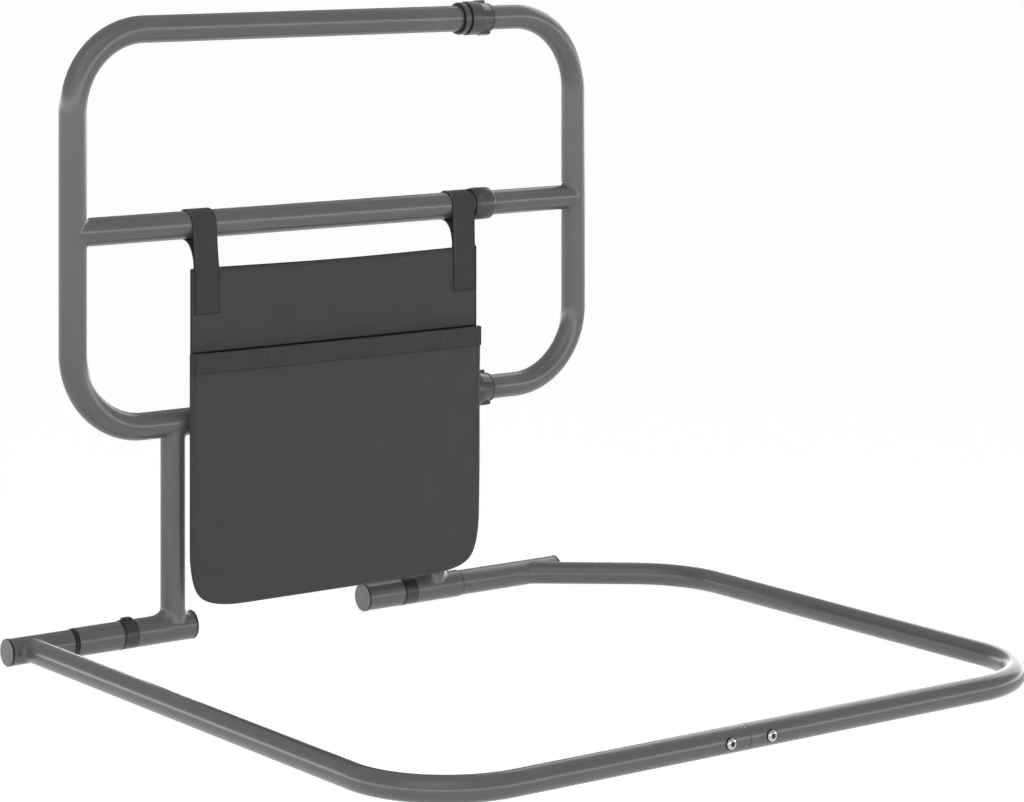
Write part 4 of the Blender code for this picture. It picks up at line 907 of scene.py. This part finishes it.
def measured(grid):
    """Distance across and down the grid, as a UV pair for each point."""
    across = np.linalg.norm(np.diff(grid, axis=1), axis=2)
    down = np.linalg.norm(np.diff(grid, axis=0), axis=2)
    u = np.pad(np.cumsum(across, 1), ((0, 0), (1, 0)))
    v = np.pad(np.cumsum(down, 0), ((1, 0), (0, 0)))
    return np.stack([u - u[:, -1:] / 2, v], -1)


def cloth_piece(name, grid, thickness):
    """Inner side, outer side and a bowed band between their edges, in one closed mesh."""
    rows, columns = grid.shape[:2]
    out = outward_of(grid)
    number = np.arange(rows * columns).reshape(rows, columns)
    rim = np.concatenate([number[0], number[1:, -1], number[-1, -2::-1], number[-2:0:-1, 0]])
    flat, out = grid.reshape(-1, 3), out.reshape(-1, 3)
    edge = flat[rim]
    side = unit(np.cross(out[rim], np.roll(edge, -1, 0) - np.roll(edge, 1, 0)))
    inwards = (side * (flat.mean(0) - edge)).sum() > 0
    bowed = edge + out[rim] * thickness / 2 + side * thickness * (-0.4 if inwards else 0.4)
    points = np.vstack([flat, flat + out * thickness, bowed])
    cells = faces_of(rows, columns, False, False)
    count, after = rows * columns, np.roll(np.arange(len(rim)), -1)
    band = np.arange(len(rim)) + 2 * count
    lower = np.stack([rim, rim[after], band[after], band], -1)
    upper = np.stack([band, band[after], rim[after] + count, rim + count], -1)
    faces = np.vstack([cells[:, ::-1], cells + count, lower[:, ::-1], upper[:, ::-1]])
    if inside_out(points, faces):
        faces = faces[:, ::-1]
    piece = new_object(name, points, faces.tolist())
    corners = np.empty(len(piece.data.loops), np.int32)
    piece.data.loops.foreach_get("vertex_index", corners)
    place = measured(grid).reshape(-1, 2)
    place = np.vstack([place, place, place[rim]])[corners].astype(np.float32)
    piece.data.uv_layers.new(name="cloth").data.foreach_set("uv", place.ravel())
    return piece


# %% [markdown]
# ## The pouch
#
# The pouch is cut from a thick plain-weave polyester: a back panel with round lower corners, a pocket
# in front of it, and a gathered band along the pocket's mouth. It hangs in front of the bottom bar.
# Each of the three is a function of u across and v down. The heights close up towards the bottom, so
# that the round corners, which are hyperbolas, get enough rows. The pocket stands 6 mm off the panel
# on a wall like a gusset, which rises within 2 to 5 mm of the outline, and up to 4 mm more in its
# middle. Cloth that hangs from two straps sags a little between them and is never quite flat, so slow
# waves are added, always towards the front, where they touch nothing.

# %% The pouch's surfaces
PANEL_X, POCKET_X, BAND_X = (0.1273, 0.4888), (0.1258, 0.4891), (0.1248, 0.4893)
POUCH_TOP, POCKET_TOP, POUCH_BOTTOM = -0.044, -0.131, -0.3937
BACK_Y, POCKET_Y, CLOTH, BAND_HEIGHT = -0.0189, -0.0207, 0.0012, 0.0198
CORNER_K, CORNER_C, CORNER_EASE = 0.000295, 0.0051, 0.0006
WAVE_DEPTH, SAG, GUSSET, CROWN, CROWN_WAVE = 0.0014, 0.0015, 0.0064, 0.0026, 0.0011
PUCKER_PITCH, PUCKER_DEPTH = 0.0083, 0.0006


def inset_at(rise):
    """The lower corners are hyperbolas, (across + c)(down + c) = k, eased to 0 above."""
    across = CORNER_K / (CORNER_C + rise) - CORNER_C
    return 0.5 * (across + np.sqrt(across**2 + CORNER_EASE**2))


def spread(u, z, edges):
    """x at u across, where the round lower corners narrow the cloth."""
    inset = inset_at(z - POUCH_BOTTOM)
    return edges[0] + inset + (edges[1] - edges[0] - 2 * inset) * u


def stack(x, y, z):
    x, y, z = np.broadcast_arrays(x, y, z)
    return np.stack([x, y, z], -1) + HOME


def height(top, v):
    return top + (POUCH_BOTTOM - top) * np.sin(np.pi / 2 * v)


def back_panel(u, v):
    """Flat, with shallow waves above the pocket and a top edge that sags 1.5 mm between the straps."""
    z = height(POUCH_TOP, v)
    free = smooth((z - POCKET_TOP) / 0.06) * np.sin(np.pi * u) ** 0.5
    wave = 0.5 + 0.5 * np.sin(9.0 * u + 14 * z + 0.6) * np.cos(5.1 * u + 1.2)
    sag = SAG * np.sin(np.pi * np.clip((u - 0.09) / 0.82, 0, 1))
    sag = sag * (1 - smooth((POUCH_TOP - z) / 0.08))
    return stack(spread(u, z, PANEL_X), BACK_Y - WAVE_DEPTH * free * wave, z - sag)


def from_edge(u, z):
    """Distance to the pouch's outline: 1 / d^2 is the sum of 1 / across^2 and 1 / down^2."""
    inset = inset_at(z - POUCH_BOTTOM)
    across = np.minimum(u, 1 - u) * (POCKET_X[1] - POCKET_X[0] - 2 * inset)
    down = z - POUCH_BOTTOM - inset_at(inset + across)
    return 1 / np.hypot(1 / np.maximum(across, 1e-6), 1 / np.maximum(down, 1e-6))


def bulge(u, v, z):
    """A wall like a gusset, crisp at the mouth and rounder and lower below it, and a fuller middle."""
    turn = 0.0016 + 0.003 * smooth((POCKET_TOP - z) / 0.07)
    wall = (1 - (1 - np.clip(from_edge(u, z) / turn, 0, 1)) ** 3) ** (1 / 3)
    wall = wall * (1 - 0.3 * smooth((-0.27 - z) / 0.1))
    crown = np.sqrt(np.maximum(np.sin(np.pi * np.clip(u, 0, 1)) * np.cos(np.pi / 2 * v), 0))
    wave = 0.5 + 0.5 * np.sin(7.2 * u + 3.3 * v + 2.1) * np.cos(4.4 * v - 2.7 * u + 0.5)
    return wall * (GUSSET + (CROWN + CROWN_WAVE * wave) * crown)


def pocket(u, v):
    z = height(POCKET_TOP, v)
    return stack(spread(u, z, POCKET_X), POCKET_Y - bulge(u, v, z), z)


def band(u, v):
    """The gathered band: puckers about 8 mm apart that lean, and die out at its two seams."""
    z = POCKET_TOP - BAND_HEIGHT * v
    x = BAND_X[0] + (BAND_X[1] - BAND_X[0]) * u
    drift = 0.55 * v + 0.35 * np.sin(31 * u) + 0.2 * np.sin(67 * u + 1)
    lean = 2 * np.pi * (x / PUCKER_PITCH + drift)
    uneven = 0.55 + 0.25 * np.sin(23 * u) + 0.2 * np.sin(51 * u + 2)
    pucker = PUCKER_DEPTH * uneven * (0.5 + 0.5 * np.sin(lean)) * np.sin(np.pi * v) ** 0.7
    return stack(x, POCKET_Y - CLOTH - 0.0004 - bulge(u, 0, POCKET_TOP) - pucker, z)


def spaced(count):
    """From 0 to 1, closer at both ends: (1 - cos(pi k)) / 2."""
    return (1 - np.cos(np.pi * np.linspace(0, 1, count))) / 2


# %% The pouch's three sheets
u, v = spaced(110)[None], np.linspace(0, 1, 90)[:, None]
panel = cloth_piece("pouch_panel", back_panel(u, v), CLOTH)
settle(panel, "pouch", "pouch_cloth", pouch_cloth, "pouch_back_panel")
front = cloth_piece("pouch_front", pocket(u, v), CLOTH)
settle(front, "pouch", "pouch_cloth", pouch_cloth, "pouch_pocket")
u, v = (0.25 * spaced(500) + 0.75 * np.linspace(0, 1, 500))[None], np.linspace(0, 1, 18)[:, None]
hem = cloth_piece("pouch_band", band(u, v), CLOTH)
settle(hem, "pouch", "pouch_cloth", band_cloth, "pouch_pocket_hem")

# %% [markdown]
# ### Painted shade on the pouch
#
# A black strip behind the pocket's mouth is painted shade: it draws the dark line of the mouth's
# shadow above the band. A black tape round the pouch's whole outline is painted shade along its
# edges, and a finer black cord along the folds of the pocket and of the band is painted shade in
# those creases. On the left the cord fades out below the band. Each tape or cord is an oval, wide
# across the edge and deep through it, carried along a line on the cloth.


# %% The painted shade at the mouth, the outline and the folds
# Sizes of the black tape and cords that paint shade along the outline and the folds
TAPE, CORD, CORD_IN = (0.0007, 0.0012), (0.00045, 0.0003), 0.0011 / 0.363


def piping(name, line, wide, deep, around):
    """line + deep cos a Y + wide sin a (way x Y), with 10 points round."""
    way = np.roll(line, -1, 0) - np.roll(line, 1, 0) if around else np.gradient(line, axis=0)
    a = (np.arange(10) * np.pi / 5)[:, None]
    sideways = unit(np.cross(unit(way), Y))[:, None] * np.reshape(wide, (-1, 1, 1))
    return make_piece(name, line[:, None] + np.cos(a) * deep * Y + np.sin(a) * sideways, along=around)


def facing(u, v):
    """A black strip of painted shade, 20 mm deep behind the pocket's mouth, 2 mm in from its sides."""
    x = POCKET_X[0] + 0.002 + (POCKET_X[1] - POCKET_X[0] - 0.004) * u
    return stack(x, BACK_Y - CLOTH - 0.0016, POCKET_TOP + 0.0012 - 0.02 * v)


across, along = np.linspace(0, 1, 200), np.linspace(0, 1, 260)
# A black sheet behind the mouth: painted shade, the mouth's shadow above the band.
strip = facing(np.linspace(0, 1, 20)[None], np.linspace(0, 1, 5)[:, None])
lining = cloth_piece("mouth_lining", strip, 0.0003)
settle(lining, "pouch", "pouch_cloth", black_cloth)
# A black tape round the outline: painted shade along the pouch's edges.
rim = [back_panel(across, 0), back_panel(1, along)[1:]]
rim += [back_panel(across[::-1], 1)[1:], back_panel(0, along[::-1])[1:-1]]
binding = piping("edge_binding", np.vstack(rim) - CLOTH / 2 * Y, *TAPE, True)
settle(binding, "pouch", "pouch_cloth", black_cloth)
# Black cords along the folds: painted shade in the creases, fading out on the left below the band.
cords = []
for side, u in (("left", CORD_IN), ("right", 1 - CORD_IN)):
    fade = 1 - smooth((along - 0.1) / 0.35) * (side == "left")
    kept = fade > 0.05
    line = pocket(u, 0.9 * along) - CLOTH * Y
    cords.append(piping(f"{side}_pocket_cord", line[kept], CORD[0] * fade[kept], CORD[1], False))
    cords.append(piping(f"{side}_band_cord", band(u, along[::20]) - CLOTH * Y, *CORD, False))
for cord in cords:
    settle(cord, "pouch", "pouch_cloth", black_cloth)

# %% [markdown]
# ### The straps
#
# A strap is sewn behind the pouch, goes up over the middle bar and comes down in front, where its end
# is sewn on. Its path lies in one plane, so the strap is that path carried across its width. Corners
# of the path are eased by cutting them three times, which turns each point into two, a quarter of the
# way to its neighbours.


# %% The straps
STRAP_W, STRAP_T, LOOP_R, LAP = 0.028, 0.0014, 0.01505, 0.0466
STRAP_PLACES, STRAP_FRONT_Y = {"left": (0.132, 0.0), "right": (0.4585, 0.003)}, BACK_Y - 0.0018


def strap_line():
    """(y, z) from the hidden end behind the pouch, over the bar, to the sewn end in front."""
    a = np.radians(np.linspace(-75, 176, 70))
    loop = LOOP_R * np.stack([np.cos(a), np.sin(a)], -1)
    behind, front = BACK_Y + 0.0004, STRAP_FRONT_Y
    b = np.radians(np.linspace(0, 84, 15))[:, None]
    reach = loop[0] - [behind, POUCH_TOP]
    sweep = [behind, POUCH_TOP] + reach * np.hstack([1 - np.cos(b), np.sin(b)])
    down = [[-0.0192, POUCH_TOP + 0.005], [front, POUCH_TOP], [front, -0.050], [front, -0.070]]
    hidden = [[behind, -0.072], [behind, -0.050]]
    line = np.vstack([hidden, sweep, loop, down, [[front, POUCH_TOP - LAP]]])
    for _ in range(3):
        cut = np.stack([0.75 * line[:-1] + 0.25 * line[1:], 0.25 * line[:-1] + 0.75 * line[1:]], 1)
        line = np.vstack([line[:1], cut.reshape(-1, 2), line[-1:]])
    return line


def strap_grid(left_x, lean):
    """The line carried across, leaning a little where the strap hangs free of the pouch."""
    line = strap_line()
    step = np.append(0, np.cumsum(np.linalg.norm(np.diff(line, axis=0), axis=1)))
    even = np.linspace(0, step[-1], 150)
    y, z = (np.interp(even, step, line[:, k])[:, None] for k in (0, 1))
    side = np.linspace(0, 1, 13)[None]
    x = left_x + STRAP_W * side + lean * np.clip(1 - z / POUCH_TOP, 0, 1)
    return stack(x, y, z)


for side, place in STRAP_PLACES.items():
    strap = cloth_piece(f"{side}_strap", strap_grid(*place), STRAP_T)
    settle(strap, "pouch", "webbing", strap_webbing, f"{side}_pouch_strap")

# %% [markdown]
# ### Stitches
#
# Every seam that shows is a row of lockstitches, and each strap's end is held by a box with a cross in
# it. A stitch is a small capsule that lies half in the cloth: four rings of six points along the seam.
# All the stitches of a seam are worked out at once, from even distances along a line that is drawn in
# u and v on the cloth.


# %% Rows of stitches
def seam(surface, u, v, lift, pitch=0.0036, long=0.0027, thick=0.00028):
    """Rings for each stitch: centre + s along + r (cos a side + sin a outward)."""
    u, v = np.broadcast_arrays(np.asarray(u, float), np.asarray(v, float))
    line, step = surface(u, v), 1e-4
    out = unit(np.cross(surface(u, v + step) - line, surface(u + step, v) - line))
    line = line + out * lift
    travel = np.append(0, np.cumsum(np.linalg.norm(np.diff(line, axis=0), axis=1)))
    middles = np.arange(pitch / 2, travel[-1], pitch)
    pick = lambda values: np.stack([np.interp(middles, travel, values[:, k]) for k in range(3)], -1)
    centre, out = pick(line), unit(pick(out))
    along = unit(pick(np.gradient(line, axis=0)))
    side = np.cross(along, out)
    s = np.array([-0.5, -0.36, 0.36, 0.5]) * long
    r = np.array([0.15, 1, 1, 0.15]) * thick
    a = (np.arange(6) * np.pi / 3)[:, None]
    ring = r[:, None, None] * (np.cos(a) * side[:, None] + np.sin(a) * out[:, None])[:, None]
    return centre[:, None, None] + s[:, None, None] * along[:, None, None] + ring


def stitch_piece(name, seams):
    """All the stitches of some seams as one mesh."""
    grids = np.concatenate(seams)
    count = len(grids)
    cells = faces_of(4, 6, True, False)
    caps = np.array([[5, 4, 3, 2], [5, 2, 1, 0], [18, 19, 20, 21], [18, 21, 22, 23]])
    faces = np.vstack([cells, caps])
    points = grids.reshape(count, 24, 3)
    if inside_out(points[0], faces):
        faces = faces[:, ::-1]
    every = (faces[None] + 24 * np.arange(count)[:, None, None]).reshape(-1, 4)
    print(f"{name}: {count} stitches")
    return new_object(name, points.reshape(-1, 3), every.tolist())


# %% The pouch's seams
steps, side_u, below_band = np.linspace(0, 1, 400), 0.016, BAND_HEIGHT + 0.003
lines = [seam(band, 0.01 + 0.98 * steps, v, CLOTH) for v in (0.10, 0.90)]
lines.append(seam(back_panel, 0.012 + 0.976 * steps, 0.0145, CLOTH))
first_v = 2 / np.pi * np.arcsin(below_band / (POCKET_TOP - POUCH_BOTTOM))
sides = first_v + (0.93 - first_v) * steps
lines += [seam(pocket, u, sides, CLOTH) for u in (side_u, 1 - side_u)]
pouch_thread = stitch_piece("pouch_stitches", lines)
settle(pouch_thread, "pouch", "pouch_cloth", thread)


def strap_front(left_x):
    """The strap's flat lower end, with u across it and v down its sewn length."""
    return lambda u, v: stack(left_x + STRAP_W * u, STRAP_FRONT_Y + 0 * v, POUCH_TOP - LAP * v)


box_u, box_v, lines = 0.12 + 0.76 * steps, 0.32 + 0.62 * steps, []
crossed = [(0.10, box_v), (0.90, box_v), (box_u, 0.32), (box_u, 0.94)]
crossed += [(box_u, 0.34 + 0.58 * steps), (box_u, 0.92 - 0.58 * steps)]
for left_x, _ in STRAP_PLACES.values():
    lines += [seam(strap_front(left_x), u, v, STRAP_T) for u, v in crossed]
strap_thread = stitch_piece("strap_stitches", lines)
settle(strap_thread, "pouch", "webbing", thread)

# %% [markdown]
# ### What the cloth was cut from
#
# The panel and the pocket are rectangles less two round corners, and the pocket's cut is a little
# wider than the pouch, because it stands off it.

# %% [markdown]
# ## Pieces inside
#
# Shafts, bushings, collets, glides, springs and the joiner are hidden, but they show when the rail is
# pulled apart, so each gets the finish of the real one.

# %% Finishes of the hidden pieces
inside = {"bushing": black_plastic, "glide": black_plastic, "collet": black_plastic, "liner": steel_paint}
for name, node in frame["nodes"].items():
    if not node.hide_render:
        kind = name.split("_")[-1]
        node.data.materials.clear()
        node.data.materials.append(inside.get(kind, zinc))
        print(f"{name}: {node.data.materials[0].name}")

# %% [markdown]
# ## Floor, light and camera
#
# The frame lies on a bed's slats, and the rail hangs beside the bed when it is folded down. So the plain
# pale floor is 680 mm lower, where a bedroom's floor is. Seen by the camera it is white, and a shadow
# stays on it as a slight grey, because half of its brightness is its own and half is light that falls
# on it. The world is brightest at eye height all round, as in a room with white walls: that band is
# what draws the narrow streak along each level tube. Above it the strength falls smoothly to that of
# the ceiling. A large soft lamp in front and above models the cloth, and a weak one behind on the
# right lights the upper edges.
#
# The photograph's upright lines stay parallel, as with a lens that is shifted and not tilted. A shear in
# the camera's parent matrix does the same: each ray is u X + v Y - f (Z + 0.16 Y), with u and v on the
# sensor and f the distance to it, and f grows by the length of Z + 0.16 Y.

# %% The floor
FLOOR_DROP, REACH, OWN_SHARE, WHITE = 0.68, 60.0, 0.53, (1.0, 1.0, 1.0, 1.0)
corners = REACH * np.array([[-1, -1, 0], [1, -1, 0], [1, 1, 0], [-1, 1, 0]])
floor = new_object("floor", corners + [0, 0, float(cad_box[0][2]) - FLOOR_DROP], [(0, 1, 2, 3)], False)
material, tree, output = new_material("plain pale floor")
matt = add_node(tree, "ShaderNodeBsdfDiffuse", {"Color": colour("#e6e6e6")})
rays = add_node(tree, "ShaderNodeLightPath").outputs
seen = {0: rays["Is Camera Ray"], 1: rays["Is Glossy Ray"]}
seen = add_node(tree, "ShaderNodeMath", seen, operation="MAXIMUM").outputs[0]
seen = {0: seen, 1: rays["Is Transmission Ray"]}
seen = add_node(tree, "ShaderNodeMath", seen, operation="MAXIMUM").outputs[0]
seen = add_node(tree, "ShaderNodeMath", {0: seen, 1: OWN_SHARE}, operation="MULTIPLY").outputs[0]
glow = add_node(tree, "ShaderNodeEmission", {"Color": WHITE, "Strength": seen})
finish_with(tree, output, add_node(tree, "ShaderNodeAddShader", {0: matt.outputs[0], 1: glow.outputs[0]}))
floor.data.materials.append(material)

# %% The light
scene = bpy.context.scene
scene.world = bpy.data.worlds.new("soft room")
scene.world.use_nodes = True
tree = scene.world.node_tree
direction = add_node(tree, "ShaderNodeTexCoord").outputs["Generated"]
upward = add_node(tree, "ShaderNodeSeparateXYZ", {0: direction}).outputs["Z"]
wall_light = {"From Min": 0.04, "To Min": 5.0}
ceiling_light = {"From Max": 0.2, "To Max": 0.5}
level = {"Value": upward, **wall_light, **ceiling_light}
level = add_node(tree, "ShaderNodeMapRange", level, interpolation_type="SMOOTHSTEP")
tree.links.new(level.outputs[0], tree.nodes["Background"].inputs["Strength"])
tree.nodes["Background"].inputs["Color"].default_value = WHITE


def soft_lamp(name, place, target, size, watts):
    """A square lamp that looks from one place to another."""
    lamp = bpy.data.lights.new(name, "AREA")
    lamp.size, lamp.energy = size, watts
    holder = bpy.data.objects.new(name, lamp)
    holder.location = place
    away = Vector((place - target).tolist())
    holder.rotation_euler = away.to_track_quat("Z", "Y").to_euler()
    scene.collection.objects.link(holder)
    return holder


OBJECT_MIDDLE = at(0.3, -0.3, -0.2)
soft_lamp("key", at(-1.6, -2.0, 2.2), OBJECT_MIDDLE, size=3.2, watts=24)
soft_lamp("rim", at(2.0, 0.3, 0.6), OBJECT_MIDDLE, size=1.6, watts=18)

# %% The camera
FOCAL_MM, SHIFT_MM, CAMERA_TURN = 118.21, 18.899, -0.635
CAMERA_PLACE = at(-1.6615, -3.0050, 0.3745)
lens = bpy.data.cameras.new("camera")
lens.sensor_width, lens.dof.use_dof, lens.clip_end = 36.0, False, 200.0
slant = SHIFT_MM / FOCAL_MM
lens.lens = FOCAL_MM * np.hypot(1, slant)
level_turn = Euler((np.pi / 2, 0.0, CAMERA_TURN)).to_matrix().to_4x4()
shear = Matrix(((1, 0, 0, 0), (0, 1, slant, 0), (0, 0, 1, 0), (0, 0, 0, 1)))
camera = bpy.data.objects.new("camera", lens)
stand = bpy.data.objects.new("stand", None)
scene.collection.objects.link(stand)
camera.parent = stand
camera.matrix_parent_inverse = Matrix.Translation(CAMERA_PLACE) @ level_turn @ shear
scene.collection.objects.link(camera)
scene.camera = camera
scene.view_settings.view_transform = "Standard"
